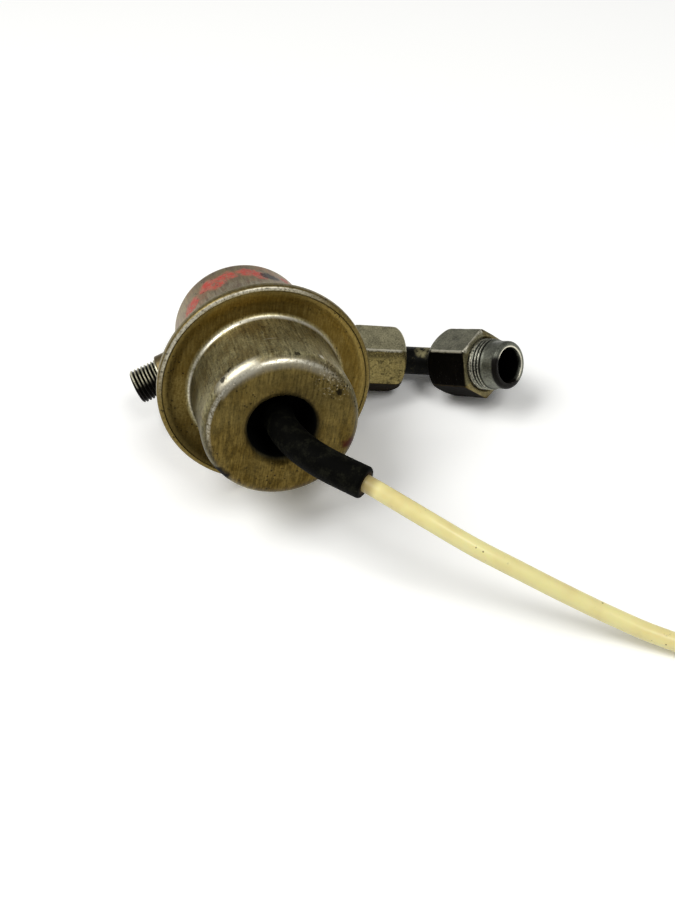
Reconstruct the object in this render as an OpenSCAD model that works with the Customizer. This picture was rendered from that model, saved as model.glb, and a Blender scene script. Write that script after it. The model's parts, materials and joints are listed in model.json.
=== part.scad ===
// Fuel pressure regulator: two drawn shells with a rolled rim, a sprung diaphragm valve inside,
// two fuel stubs on the rear shell and a vacuum line in the well of the front shell.
// It lies as it comes to rest, on the rim, the edge of the rear shell and a union nut.

/* [Shells] */
// Diameter over the rolled rim
flange_d = 56; // [53:0.5:60]
// Outside diameter of the front cup, which holds the spring
spring_cup_d = 39; // [37:0.5:41]
// Height of the front cup above the face of the rim
spring_cup_len = 21.6; // [20:0.2:26]
// Outside diameter of the rear cup, which holds the fuel
fuel_cup_d = 39; // [37:0.5:41]
// Depth of the rear cup behind the face of the rim
fuel_cup_len = 40.9; // [39:0.1:46]
// Thickness of the shells' sheet
shell_t = 1; // [0.8:0.1:1.2]
// Outside radius of the edge at the closed end of each cup
cup_edge_r = 3.5; // [2.5:0.1:4.5]
// Radius at the root of each cup
cup_root_r = 2; // [1.5:0.1:2.4]
// Thickness of the rolled lip over the front flange
lip_t = 0.8; // [0.6:0.1:1]
// Thickness of the rolled wall outside the front flange
roll_t = 0.6; // [0.5:0.1:0.8]
// Radius at the back of the rolled rim
roll_r = 1.43; // [1:0.01:1.6]
// Width of the rolled lip seen from the front
lip_w = 1.25; // [1.2:0.05:1.6]
// Depth of the dish in the front flange
dish_depth = 0.5; // [0.2:0.05:0.55]

/* [Well] */
// Bore of the well in the front cup
well_d = 17; // [15:0.5:18]
// Depth of the well below the front face
well_depth = 15; // [12:0.5:16]
// Radius of the well's mouth
well_lip_r = 2; // [1.5:0.1:2.4]
// Radius in the bottom corner of the well
well_corner_r = 1.5; // [1:0.1:2]
// Outside diameter of the vacuum nipple
nipple_d = 4.2; // [4:0.1:5]
// Bore of the vacuum nipple
nipple_bore_d = 2.4; // [1.6:0.1:2.8]
// Height of the vacuum nipple above the bottom of the well
nipple_len = 11; // [9:0.5:13]

/* [Diaphragm] */
// Thickness of the diaphragm
diaphragm_t = 0.6; // [0.5:0.1:1]
// Height of the diaphragm's convolution
convolution_h = 1.1; // [0.6:0.1:1.4]
// Diameter of the spring seat
seat_plate_d = 33.4; // [33:0.1:34]
// Thickness of the spring seat
seat_plate_t = 1; // [0.8:0.1:1.2]
// Diameter of the support washer on the fuel side
support_d = 26; // [20:0.5:30]
// Thickness of the support washer
support_t = 0.8; // [0.6:0.1:1.2]

/* [Spring] */
// Mean diameter of the pressure spring's coil
coil_d = 28.6; // [27.5:0.1:29]
// Diameter of the pressure spring's wire
wire_d = 2.6; // [2:0.1:2.8]
// Turns in the pressure spring
coil_turns = 5; // [4:0.5:6]

/* [Valve] */
// Diameter of the valve carrier
carrier_d = 13; // [12.2:0.2:15]
// Height of the valve carrier below the support washer
carrier_len = 7; // [6.8:0.1:8]
// Diameter of the carrier's stem through the diaphragm
stem_d = 5; // [4.4:0.2:6]
// Diameter of the carrier's riveted head
rivet_d = 8.4; // [7.4:0.2:10]
// Height of the carrier's riveted head
rivet_h = 1.2; // [0.8:0.1:1.6]
// Diameter of the valve plate
plate_d = 8.8; // [8.6:0.1:9]
// Thickness of the valve plate
plate_t = 1.4; // [1.2:0.1:1.6]
// Diameter of the ball that the valve plate swivels on
ball_d = 3.6; // [3:0.1:4]
// Wire thickness of the snap ring below the plate
ring_t = 0.5; // [0.4:0.05:0.6]
// Outside diameter of the seat tube
seat_tube_d = 6.8; // [6:0.1:7.2]
// Bore of the seat tube
seat_bore_d = 3.8; // [3:0.1:4.2]

/* [Return stub] */
// Distance of the return stub's axis from the closed end of the rear cup
return_up = 8; // [7.4:0.1:9.4]
// Reach of the return stub from the regulator's axis
return_reach = 34.4; // [32:0.1:38]
// Thread diameter of the return stub
return_thread_d = 10; // [9:0.5:11]
// Length of the return stub's thread
return_thread_len = 8.2; // [7:0.1:10]
// Diameter of the return stub's collar
return_collar_d = 11.6; // [11.4:0.2:13]
// Bore of the return stub
return_bore_d = 4.4; // [3.6:0.1:5]
// Diameter of the return block inside the rear cup
block_d = 16; // [14:0.5:18]
// Height of the return block above the bottom of the rear cup
block_h = 13.5; // [13:0.1:15]

/* [Supply stub] */
// Distance of the supply stub's axis behind the rim's face
supply_z = 21.6; // [20:0.1:23]
// Angle between the supply stub and the return stub
port_spread = 149; // [130:1:180]
// Diameter of the supply stub's collar
supply_collar_d = 17; // [15:0.5:18]
// Length of the supply stub's collar outside the wall
supply_collar_len = 5; // [4:0.1:6]
// Reach of the inner nut's outer face from the regulator's axis
nut_reach = 43.1; // [42.5:0.1:50]

/* [Unions] */
// Thread diameter of the union nuts, the supply stub and the coupling
union_thread_d = 14; // [13:0.5:15]
// Bore of the supply stub and the coupling
union_bore_d = 6; // [5:0.2:7]
// Mouth diameter of the sealing cones
cone_mouth_d = 10; // [9.4:0.1:10.4]
// Half angle of the sealing cones
cone_angle = 12; // [10:1:15]
// Width of the union nuts across their flats
nut_af = 17; // [16:0.5:19]
// Length of the union nuts
nut_len = 14.5; // [13:0.5:17]
// Length of the rounded end of the union nuts, on the pipe's side
nut_dome = 3.2; // [2.6:0.1:3.6]
// Diameter of the rounded end's flat
nut_end_d = 11.8; // [11.2:0.1:12.6]
// Turn of the inner nut on its thread
inner_nut_turn = -21; // [-30:1:30]
// Turn of the outer nut on its thread
outer_nut_turn = -18; // [-30:1:30]
// Diameter of the cone nipple's tail
tail_d = 10; // [9.6:0.1:10.4]
// Length of the cone nipple's tail outside the nut
tail_out = 1.2; // [0.6:0.1:1.4]
// Outside diameter of the pipe
pipe_d = 8; // [7.5:0.1:8.4]
// Wall of the pipe
pipe_t = 1; // [0.8:0.1:1.5]
// Distance from the regulator's axis to the corner of the pipe's bend
pipe_corner = 52; // [51:0.1:60]
// Angle that the pipe is bent through
pipe_bend = 66; // [40:1:70]
// Turn of the bend about the supply stub's axis
pipe_turn = 24.5; // [0:0.5:40]
// Radius of the bend at the pipe's centre
bend_r = 9; // [8:0.1:9.2]
// Distance from the corner of the bend to the outer nut
outer_nut_gap = 8.2; // [8:0.1:14]
// Length of the coupling's thread outside the outer nut
coupling_thread_out = 4; // [2:0.5:8]
// Diameter of the coupling's plain nose
nose_d = 13; // [12.2:0.2:13.4]
// Length of the coupling's plain nose
nose_len = 4.5; // [3:0.5:8]

/* [Vacuum line] */
// Outside diameter of the rubber sleeve
sleeve_d = 7.8; // [7:0.1:9]
// Straight length of the sleeve on the nipple
sleeve_foot = 9.7; // [8:0.1:11]
// Radius of the sleeve's bend
sleeve_bend_r = 30; // [24:1:40]
// Angle that the sleeve is bent through
sleeve_bend = 46; // [30:1:60]
// Straight length of the sleeve on the nylon line
sleeve_end = 7.5; // [6:0.5:12]
// Turn of the sleeve's bend away from the supply stub
sleeve_turn = -3; // [-20:1:20]
// Outside diameter of the nylon line
line_d = 4.2; // [4:0.1:4.4]
// Length of the rubber connector at the line's far end
connector_len = 18; // [14:1:24]

/* [Fits] */
// Gap round a brazed or pressed joint
joint_gap = 0.02; // [0.01:0.01:0.05]
// Gap round parts that move
run_gap = 0.05; // [0.02:0.01:0.1]
// Gap between the threads' plain cylinders
thread_gap = 0.05; // [0.02:0.01:0.1]

/* [Hidden] */
$fn = 64;

zinc = [0.55, 0.48, 0.3];
steel = [0.66, 0.66, 0.64];
dark_steel = [0.2, 0.19, 0.17];
rubber = [0.07, 0.07, 0.07];
nylon = [0.87, 0.8, 0.56];
arc_steps = 6;
bend_lap = 0.4;
pipe_thinning = 0.04;
sleeve_thinning = 0.06;

// Levels along the axis, from the face of the rim backwards
flange_r = flange_d / 2;
spring_cup_r = spring_cup_d / 2;
fuel_cup_r = fuel_cup_d / 2;
front_flange_top = -lip_t;
diaphragm_top = front_flange_top - shell_t;
diaphragm_bottom = diaphragm_top - diaphragm_t;
rim_back = diaphragm_bottom - shell_t;
roll_inside_r = flange_r - roll_t;
clamp_gap = 0.1;
clamp_r = roll_inside_r - clamp_gap;
lip_gap = 0.2;
shoulder_r = flange_r - lip_w - lip_gap;
shoulder_bevel = 0.2;
shoulder_z = -0.1;
dish_in_z = -0.4;
shoulder_edge = 0.9;
dish_steps = 8;

// The well and its nipple
well_r = well_d / 2;
well_floor = spring_cup_len - well_depth;
nipple_r = nipple_d / 2;
nipple_head_ledge = 1.4;
nipple_head_r = nipple_r + nipple_head_ledge;
nipple_head_h = 1;
nipple_chamfer = 0.5;

// The valve, from the diaphragm backwards
support_bottom = diaphragm_bottom - support_t;
carrier_bottom = support_bottom - carrier_len;
plate_ring_room = 0.2;
ring_bottom = carrier_bottom + plate_ring_room;
ring_top = ring_bottom + ring_t;
plate_bottom = ring_top + run_gap;
plate_top = plate_bottom + plate_t;
plate_r = plate_d / 2;
plate_gap = 0.3;
plate_room = 0.2;
pocket_r = plate_r + plate_gap;
pocket_top = plate_top + plate_room;
groove_depth = 0.4;
ring_w = 0.8;
ring_split = 2;
ring_inner_r = pocket_r - ring_w;
ball_r = ball_d / 2;
dimple_depth = 0.4;
ball_z = plate_top - dimple_depth + ball_r;
ball_room = 0.05;
ball_socket_r = ball_r + ball_room;
drill_point = 59;
seat_top = plate_bottom - run_gap / 2;
seat_tube_r = seat_tube_d / 2;
seat_bore_r = seat_bore_d / 2;
block_bottom = -fuel_cup_len + shell_t + joint_gap;
return_z = fuel_cup_len - return_up;
seat_tube_web = 1.5;
seat_tube_bottom = -return_z + return_bore_d / 2 + seat_tube_web;
block_r = block_d / 2;
stub_depth = 2.5;
stub_wall = 1.8;
stub_root = block_r - stub_depth;
stub_spigot_r = return_bore_d / 2 + stub_wall;
return_thread_r = return_thread_d / 2;
return_collar_out = return_reach - return_thread_len;
thread_chamfer = 0.8;
cut_past = 1;

// The unions, measured from a nut's face on the pipe's side into the nut
union_r = union_thread_d / 2;
union_bore_r = union_bore_d / 2;
hex_corner_r = nut_af / 2 / cos(30);
dome_w = hex_corner_r - nut_end_d / 2;
dome_r = (pow(dome_w, 2) + pow(nut_dome, 2)) / (2 * dome_w);
dome_centre_r = hex_corner_r - dome_r;
tail_gap = 0.1;
nut_hole_r = tail_d / 2 + tail_gap;
nut_hole_len = 3;
nut_bore_r = union_r + thread_gap;
nut_seat_at = nut_hole_len + nut_bore_r - nut_hole_r;
nut_chamfer = 0.6;
cone_shoulder_len = 1.5;
mouth_at = nut_seat_at + cone_shoulder_len;
cone_mouth_r = cone_mouth_d / 2;
socket_r = pipe_d / 2 + joint_gap;
cone_depth = (cone_mouth_r - socket_r) / tan(cone_angle);
socket_len = 2.4;
cone_entry = 0.7;
nose_depth = cone_entry * cone_depth;
nose_step = 0.3;
cone_shoulder_gap = 0.7;
cone_shoulder_r = nut_bore_r - cone_shoulder_gap;
pipe_set_back = 0.2;
pipe_end_at = mouth_at + nose_depth - pipe_set_back;
male_thread_end = nut_len + coupling_thread_out;
coupling_end = male_thread_end + nose_len;
relief_len = 2;
relief_depth = 0.6;
relief_out = 0.3;
relief_end = nut_len + relief_out;
supply_mouth = nut_reach - mouth_at;
supply_wall = 2.5;
supply_spigot_r = union_bore_r + supply_wall;
supply_spigot_in = 3 * shell_t;
supply_collar_in = 2 * shell_t;
supply_collar_r = supply_collar_d / 2;
tangent_len = bend_r * tan(pipe_bend / 2);

// The vacuum line
sleeve_r = sleeve_d / 2;
sleeve_bore_r = nipple_r + joint_gap;
sleeve_lift = 1.2;
sleeve_start = well_floor + sleeve_lift;
line_r = line_d / 2;
line_sides = 12;
line_points = [
    [-8.15, -49.5, 33], [-4.15, -54, 32.5], [0.35, -59.5, 31], [6.35, -66.5, 28.5], [13.85, -73.5, 24],
    [21.85, -79.5, 19], [30.35, -85.5, 13.5], [38.85, -91.5, 8.5], [46.85, -97.5, 5], [56.35, -104.5, 3],
    [66.35, -110.5, 2.5], [77.35, -115.5, 2.5], [88.35, -119, 3], [98.35, -121.5, 3.9], [107.35, -123, 3.9]];
connector_grip = 6;

// How it lies: the floor touches the rim, the edge of the rear cup and the lower of the two union nuts
rim_span = (flange_r - roll_r) - (fuel_cup_r - cup_edge_r);
edge_span = fuel_cup_len - cup_edge_r + rim_back + roll_r;
span = norm([rim_span, edge_span]);
edge_step = 2;
settle_steps = 24;
roll_low = -60;
roll_high = 20;
rest_tilt = acos((cup_edge_r - roll_r) / span) - atan2(edge_span, rim_span);
rest_height = (flange_r - roll_r) * cos(rest_tilt) - (rim_back + roll_r) * sin(rest_tilt) + roll_r;
function turn_x(v, a) = [v.x, v.y * cos(a) - v.z * sin(a), v.y * sin(a) + v.z * cos(a)];
function turn_y(v, a) = [v.x * cos(a) + v.z * sin(a), v.y, v.z * cos(a) - v.x * sin(a)];
function turn_z(v, a) = [v.x * cos(a) - v.y * sin(a), v.x * sin(a) + v.y * cos(a), v.z];
function laid(v, roll) = turn_x(turn_z(v, roll), 90 - rest_tilt);
function outward(v) = turn_x(turn_y(v, 90 - pipe_bend), -pipe_turn);
bend_corner = [pipe_corner, 0, -supply_z];
function nut_edge(a, turn) = let (r = nut_af / 2 / cos((a - turn + 360) % 60 - 30))
    [r * cos(a), r * sin(a), nut_dome - sqrt(pow(dome_r, 2) - pow(r - dome_centre_r, 2))];
function on_inner(p) = [nut_reach - p.z, -p.y, -p.x - supply_z];
function on_outer(p) = bend_corner + outward([p.x, p.y, p.z + outer_nut_gap]);
function nut_height(roll) = rest_height + min([for (a = [0 : edge_step : 360])
    min(laid(on_inner(nut_edge(a, inner_nut_turn)), roll).z,
        laid(on_outer(nut_edge(a, outer_nut_turn)), roll).z)]);
function settled(low, high, steps) = let (mid = (low + high) / 2)
    steps == 0 ? mid : nut_height(mid) < 0 ? settled(mid, high, steps - 1) : settled(low, mid, steps - 1);
rest_roll = settled(roll_low, roll_high, settle_steps);
return_end = laid(turn_z([return_reach, 0, -return_z], -port_spread), rest_roll);
return_side = laid(turn_z([1, 0, 0], -port_spread), rest_roll);
coupling_face = laid(on_outer([0, 0, coupling_end]), rest_roll);
coupling_side = laid(outward([0, 0, 1]), rest_roll);
x_low = return_end.x - (return_thread_r - thread_chamfer) * sqrt(1 - pow(return_side.x, 2));
x_high = coupling_face.x + (nose_d / 2 - thread_chamfer) * sqrt(1 - pow(coupling_side.x, 2));
y_low = -((spring_cup_len - cup_edge_r) * cos(rest_tilt)
    + (spring_cup_r - cup_edge_r) * sin(rest_tilt) + cup_edge_r);
y_high = (fuel_cup_len - cup_edge_r) * cos(rest_tilt)
    + (fuel_cup_r - cup_edge_r) * sin(rest_tilt) + cup_edge_r;

// Lays the regulator down, with its box centred over the origin
module at_rest() {
    translate([-(x_low + x_high) / 2, -(y_low + y_high) / 2, rest_height])
        rotate([90 - rest_tilt, 0, 0])
            rotate([0, 0, rest_roll])
                children();
}

// Stands a piece that is drawn along +Z on the rear cup, pointing outwards at an angle
module on_side(angle, behind) {
    rotate([0, 0, angle])
        translate([0, 0, -behind])
            rotate([0, 90, 0])
                children();
}

// Puts a piece that is drawn from a nut's outer face inwards at the supply stub
module at_inner_nut() {
    on_side(0, supply_z)
        translate([0, 0, nut_reach])
            rotate([180, 0, 0])
                children();
}

// Puts the same piece at the far end of the pipe
module at_outer_nut() {
    translate(bend_corner)
        rotate([-pipe_turn, 0, 0])
            rotate([0, 90 - pipe_bend, 0])
                translate([0, 0, outer_nut_gap])
                    children();
}

// Points on an arc, for a profile
function arc(centre, r, from, to) =
    [for (i = [0 : arc_steps]) let (a = from + (to - from) * i / arc_steps) centre + r * [cos(a), sin(a)]];

// A quarter bend and more: starts along +Z and curves towards +X
module bend(radius, angle) {
    translate([radius, 0, 0])
        rotate([90, 0, 180])
            rotate_extrude(angle = angle)
                translate([radius, 0])
                    children();
}

module annulus(outer, inner) {
    difference() {
        circle(outer);
        circle(inner);
    }
}

// Straight, bend and straight, all hollow; the bend is drawn a little thinner than its straights
module bent_tube(outer, inner, first, radius, angle, second, thinning) {
    linear_extrude(first + bend_lap) annulus(outer, inner);
    translate([0, 0, first]) {
        bend(radius, angle) annulus(outer - thinning, inner - thinning);
        translate([radius * (1 - cos(angle)), 0, radius * sin(angle)])
            rotate([0, angle, 0])
                translate([0, 0, -bend_lap])
                    linear_extrude(second + bend_lap) annulus(outer, inner);
    }
}

// Front shell: well, face, wall, root, dished flange and the edge that is clamped, then back inside
function dish(drop) = [for (i = [0 : dish_steps]) let (u = i / dish_steps, r0 = spring_cup_r + cup_root_r)
    [r0 + (shoulder_r - shoulder_edge - r0) * u,
     dish_in_z + (shoulder_z - dish_in_z) * u - dish_depth * sin(180 * u) - drop]];
function reversed(list) = [for (i = [len(list) - 1 : -1 : 0]) list[i]];
spring_root = [spring_cup_r + cup_root_r, dish_in_z + cup_root_r];
spring_edge = [spring_cup_r - cup_edge_r, spring_cup_len - cup_edge_r];
well_mouth = [well_r + well_lip_r, spring_cup_len - well_lip_r];
well_corner = [well_r - well_corner_r, well_floor + well_corner_r];
module spring_housing() {
    color(zinc) at_rest() rotate_extrude() polygon(concat(
        [[nipple_r + joint_gap, well_floor]],
        arc(well_corner, well_corner_r, -90, 0),
        arc(well_mouth, well_lip_r, 180, 90),
        arc(spring_edge, cup_edge_r, 90, 0),
        arc(spring_root, cup_root_r, 180, 270),
        dish(0),
        [[shoulder_r - shoulder_bevel, shoulder_z], [shoulder_r, shoulder_z - shoulder_bevel],
         [shoulder_r, front_flange_top], [clamp_r, front_flange_top], [clamp_r, diaphragm_top],
         [shoulder_r - shoulder_edge / 2, diaphragm_top]],
        reversed(dish(shell_t)),
        arc(spring_root, cup_root_r + shell_t, 270, 180),
        arc(spring_edge, cup_edge_r - shell_t, 0, 90),
        arc(well_mouth, well_lip_r - shell_t, 90, 180),
        arc(well_corner, well_corner_r + shell_t, 0, -90),
        [[nipple_r + joint_gap, well_floor - shell_t]]));
}

// Rear shell: closed end, wall, root, flange and the rim that is rolled over the front flange
fuel_edge = [fuel_cup_r - cup_edge_r, -fuel_cup_len + cup_edge_r];
fuel_root = [fuel_cup_r + cup_root_r, rim_back - cup_root_r];
module fuel_housing() {
    color(steel) at_rest() difference() {
        rotate_extrude() polygon(concat(
            [[0, -fuel_cup_len]],
            arc(fuel_edge, cup_edge_r, -90, 0),
            arc(fuel_root, cup_root_r, 180, 90),
            arc([flange_r - roll_r, rim_back + roll_r], roll_r, -90, 0),
            arc([flange_r - lip_t, -lip_t], lip_t, 0, 90),
            [[flange_r - lip_w, 0], [flange_r - lip_w, front_flange_top], [roll_inside_r, front_flange_top],
             [roll_inside_r, diaphragm_bottom]],
            arc(fuel_root, cup_root_r + shell_t, 90, 180),
            arc(fuel_edge, cup_edge_r - shell_t, 0, -90),
            [[0, -fuel_cup_len + shell_t]]));
        on_side(0, supply_z) cylinder(r = supply_spigot_r + joint_gap, h = flange_r);
        on_side(-port_spread, return_z) cylinder(r = stub_spigot_r + joint_gap, h = flange_r);
    }
}

// Rubber and cloth disc with one convolution outside the spring seat
convolution_clear = 0.4;
convolution_in = seat_plate_d / 2 + convolution_clear;
convolution_out = fuel_cup_r + cup_root_r - convolution_clear;
function convolution(level) = [for (i = [0 : 2 * arc_steps]) let (u = i / (2 * arc_steps))
    [convolution_in + (convolution_out - convolution_in) * u, level + convolution_h * pow(sin(180 * u), 2)]];
module diaphragm() {
    color(rubber) at_rest() rotate_extrude() polygon(concat(
        [[stem_d / 2 + run_gap, diaphragm_top]], convolution(diaphragm_top),
        [[clamp_r, diaphragm_top], [clamp_r, diaphragm_bottom]],
        reversed(convolution(diaphragm_bottom)), [[stem_d / 2 + run_gap, diaphragm_bottom]]));
}

// Coil spring from the seat to the inside of the front cup
spring_low = diaphragm_top + seat_plate_t + wire_d / 2 + joint_gap;
spring_high = spring_cup_len - shell_t - wire_d / 2 - joint_gap;
wire_sides = 8;
turn_steps = 20;
coil_rings = coil_turns * turn_steps;
function wire_point(i, k) = let (a = 360 * i / turn_steps, b = 360 * k / wire_sides,
    r = coil_d / 2 + wire_d / 2 * cos(b))
    [r * cos(a), r * sin(a), spring_low + (spring_high - spring_low) * i / coil_rings + wire_d / 2 * sin(b)];
function tube_faces(rings, sides) = concat(
    [[for (k = [0 : sides - 1]) k]],
    [for (i = [0 : rings - 2]) for (k = [0 : sides - 1])
        [i * sides + k, (i + 1) * sides + k, (i + 1) * sides + (k + 1) % sides, i * sides + (k + 1) % sides]],
    [[for (k = [sides - 1 : -1 : 0]) (rings - 1) * sides + k]]);
module pressure_spring() {
    color(steel) at_rest() polyhedron(
        [for (i = [0 : coil_rings]) for (k = [0 : wire_sides - 1]) wire_point(i, k)],
        tube_faces(coil_rings + 1, wire_sides));
}

// Plate under the spring, with an upturned edge that centres the coil
seat_edge_h = 1.2;
seat_edge_t = 0.8;
module spring_seat() {
    seat_r = seat_plate_d / 2;
    seat_top_z = diaphragm_top + seat_plate_t;
    color(zinc) at_rest() rotate_extrude() polygon([
        [stem_d / 2 + run_gap, diaphragm_top], [seat_r, diaphragm_top], [seat_r, seat_top_z + seat_edge_h],
        [seat_r - seat_edge_t, seat_top_z + seat_edge_h], [seat_r - seat_edge_t, seat_top_z],
        [stem_d / 2 + run_gap, seat_top_z]]);
}

module support_washer() {
    color(zinc) at_rest() translate([0, 0, support_bottom]) linear_extrude(support_t)
        annulus(support_d / 2, stem_d / 2 + run_gap);
}

// Turned carrier: riveted head, stem, body with a pocket for the plate and a drilled socket for the ball
module valve_carrier() {
    rivet_z = diaphragm_top + seat_plate_t;
    cone_h = ball_socket_r / tan(drill_point);
    cone_base = ball_z + ball_socket_r / sin(drill_point) - cone_h;
    color(steel) at_rest() difference() {
        rotate_extrude() polygon([
            [0, carrier_bottom], [carrier_d / 2, carrier_bottom], [carrier_d / 2, support_bottom],
            [stem_d / 2, support_bottom], [stem_d / 2, rivet_z], [rivet_d / 2, rivet_z],
            [rivet_d / 2, rivet_z + rivet_h / 2], [rivet_d / 3, rivet_z + rivet_h], [0, rivet_z + rivet_h]]);
        translate([0, 0, carrier_bottom - cut_past])
            cylinder(r = pocket_r, h = pocket_top - carrier_bottom + cut_past);
        translate([0, 0, ring_bottom - run_gap])
            cylinder(r = pocket_r + groove_depth, h = ring_t + 2 * run_gap);
        translate([0, 0, carrier_bottom]) cylinder(r = ball_socket_r, h = cone_base - carrier_bottom);
        translate([0, 0, cone_base]) cylinder(r1 = ball_socket_r, r2 = 0, h = cone_h);
    }
}

module valve_ball() {
    color(steel) at_rest() translate([0, 0, ball_z]) sphere(ball_r);
}

// Flat plate with a dimple for the ball
module valve_plate() {
    color(steel) at_rest() difference() {
        translate([0, 0, plate_bottom]) cylinder(r = plate_r, h = plate_t);
        translate([0, 0, ball_z]) sphere(ball_socket_r);
    }
}

// Split ring in the carrier's groove
module plate_ring() {
    color(steel) at_rest() translate([0, 0, ring_bottom]) difference() {
        linear_extrude(ring_t) annulus(pocket_r + groove_depth - run_gap, ring_inner_r);
        translate([0, -ring_split / 2, -cut_past])
            cube([pocket_r + cut_past, ring_split, ring_t + 2 * cut_past]);
    }
}

// Tube whose front end is the valve seat
seat_bevel = 0.6;
module seat_tube() {
    color(steel) at_rest() rotate_extrude() polygon([
        [seat_bore_r, seat_tube_bottom], [seat_tube_r, seat_tube_bottom],
        [seat_tube_r, seat_top - 2 * seat_bevel], [seat_tube_r - seat_bevel, seat_top],
        [seat_bore_r, seat_top]]);
}

// Block at the closed end, drilled along the axis for the seat tube and from the side for the stub
module return_block() {
    color(steel) at_rest() difference() {
        translate([0, 0, block_bottom]) cylinder(r = block_r, h = block_h);
        translate([0, 0, seat_tube_bottom]) cylinder(r = seat_tube_r + joint_gap, h = block_h);
        translate([0, 0, -return_z]) cylinder(r = seat_bore_r, h = block_h);
        on_side(-port_spread, return_z) cylinder(r = return_bore_d / 2, h = block_d);
        on_side(-port_spread, return_z) translate([0, 0, stub_root - joint_gap])
            cylinder(r = stub_spigot_r + joint_gap, h = block_d);
    }
}

// Threaded stub, through the wall into the block, with a collar that sits on the wall
flare_d = 6.6;
flare_len = 1.6;
module return_stub() {
    color(steel) at_rest() difference() {
        on_side(-port_spread, return_z) rotate_extrude() polygon([
            [return_bore_d / 2, stub_root], [stub_spigot_r, stub_root], [stub_spigot_r, fuel_cup_r - shell_t],
            [return_collar_d / 2, fuel_cup_r - shell_t],
            [return_collar_d / 2, return_collar_out], [return_thread_r, return_collar_out],
            [return_thread_r, return_reach - thread_chamfer],
            [return_thread_r - thread_chamfer, return_reach], [flare_d / 2, return_reach],
            [return_bore_d / 2, return_reach - flare_len]]);
        cup_round_spigot(-port_spread, return_z, stub_spigot_r);
    }
}

// What the rear cup takes out of a collar that sits on its wall, all round the spigot
module cup_round_spigot(angle, behind, spigot_r) {
    difference() {
        translate([0, 0, -fuel_cup_len]) cylinder(r = fuel_cup_r + joint_gap, h = fuel_cup_len);
        on_side(angle, behind) cylinder(r = spigot_r, h = flange_r);
    }
}

// Stub for the inner union nut, with a collar on the wall and a cone mouth for the nipple
module supply_stub() {
    color(steel) at_rest() difference() {
        on_side(0, supply_z) rotate_extrude() polygon([
            [union_bore_r, fuel_cup_r - supply_spigot_in], [supply_spigot_r, fuel_cup_r - supply_spigot_in],
            [supply_spigot_r, fuel_cup_r - supply_collar_in],
            [supply_collar_r, fuel_cup_r - supply_collar_in],
            [supply_collar_r, fuel_cup_r + supply_collar_len], [union_r, fuel_cup_r + supply_collar_len],
            [union_r, supply_mouth - thread_chamfer], [union_r - thread_chamfer, supply_mouth],
            [cone_mouth_r, supply_mouth], [socket_r, supply_mouth - cone_depth],
            [socket_r, supply_mouth - cone_depth - socket_len],
            [union_bore_r, supply_mouth - cone_depth - socket_len]]);
        cup_round_spigot(0, supply_z, supply_spigot_r);
    }
}

// Hexagon nut: rounded on the pipe's side, chamfered on the other, bored for thread, cone and pipe
module union_nut() {
    difference() {
        intersection() {
            cylinder(r = hex_corner_r, h = nut_len, $fn = 6);
            rotate_extrude() polygon(concat(
                [[0, 0]],
                [for (i = [0 : arc_steps])
                    let (last = atan2(-nut_dome, nut_end_d / 2 - dome_centre_r),
                         a = last * (1 - i / arc_steps))
                    [dome_centre_r + dome_r * cos(a), nut_dome + dome_r * sin(a)]],
                [[hex_corner_r, nut_len - nut_chamfer], [nut_af / 2 - nut_chamfer, nut_len], [0, nut_len]]));
        }
        rotate_extrude() polygon([
            [0, -cut_past], [nut_hole_r, -cut_past], [nut_hole_r, nut_hole_len], [nut_bore_r, nut_seat_at],
            [nut_bore_r, nut_len - nut_chamfer], [nut_bore_r + nut_chamfer, nut_len],
            [nut_bore_r + nut_chamfer, nut_len + cut_past], [0, nut_len + cut_past]]);
    }
}

// Nipple brazed on the pipe: tail through the nut, shoulder under the nut's seat, nose in the cone mouth
module cone_nipple() {
    slope = tan(cone_angle);
    rotate_extrude() polygon([
        [socket_r, -tail_out], [tail_d / 2, -tail_out], [tail_d / 2, nut_hole_len + nut_hole_r - tail_d / 2],
        [cone_shoulder_r, nut_hole_len + cone_shoulder_r - nut_hole_r + 2 * joint_gap],
        [cone_shoulder_r, mouth_at - nose_step], [cone_mouth_r - joint_gap, mouth_at - nose_step],
        [cone_mouth_r - 2 * joint_gap, mouth_at],
        [cone_mouth_r - 2 * joint_gap - nose_depth * slope, mouth_at + nose_depth],
        [socket_r, mouth_at + nose_depth]]);
}

module inner_nut() {
    color(zinc) at_rest() at_inner_nut() rotate([0, 0, inner_nut_turn]) union_nut();
}

module inner_cone() {
    color(dark_steel) at_rest() at_inner_nut() cone_nipple();
}

// Steel pipe: straight in the inner nut, bent towards the front, straight into the outer nut
module link_pipe() {
    first = pipe_corner - tangent_len - nut_reach + pipe_end_at;
    second = outer_nut_gap - tangent_len + pipe_end_at;
    color(dark_steel) at_rest() translate([nut_reach - pipe_end_at, 0, -supply_z])
        rotate([-pipe_turn, 0, 0]) rotate([0, 90, 0]) rotate([0, 0, 180])
            bent_tube(pipe_d / 2, pipe_d / 2 - pipe_t, first, bend_r, pipe_bend, second, pipe_thinning);
}

module outer_cone() {
    color(dark_steel) at_rest() at_outer_nut() cone_nipple();
}

module outer_nut() {
    color(dark_steel) at_rest() at_outer_nut() rotate([0, 0, outer_nut_turn]) union_nut();
}

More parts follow.
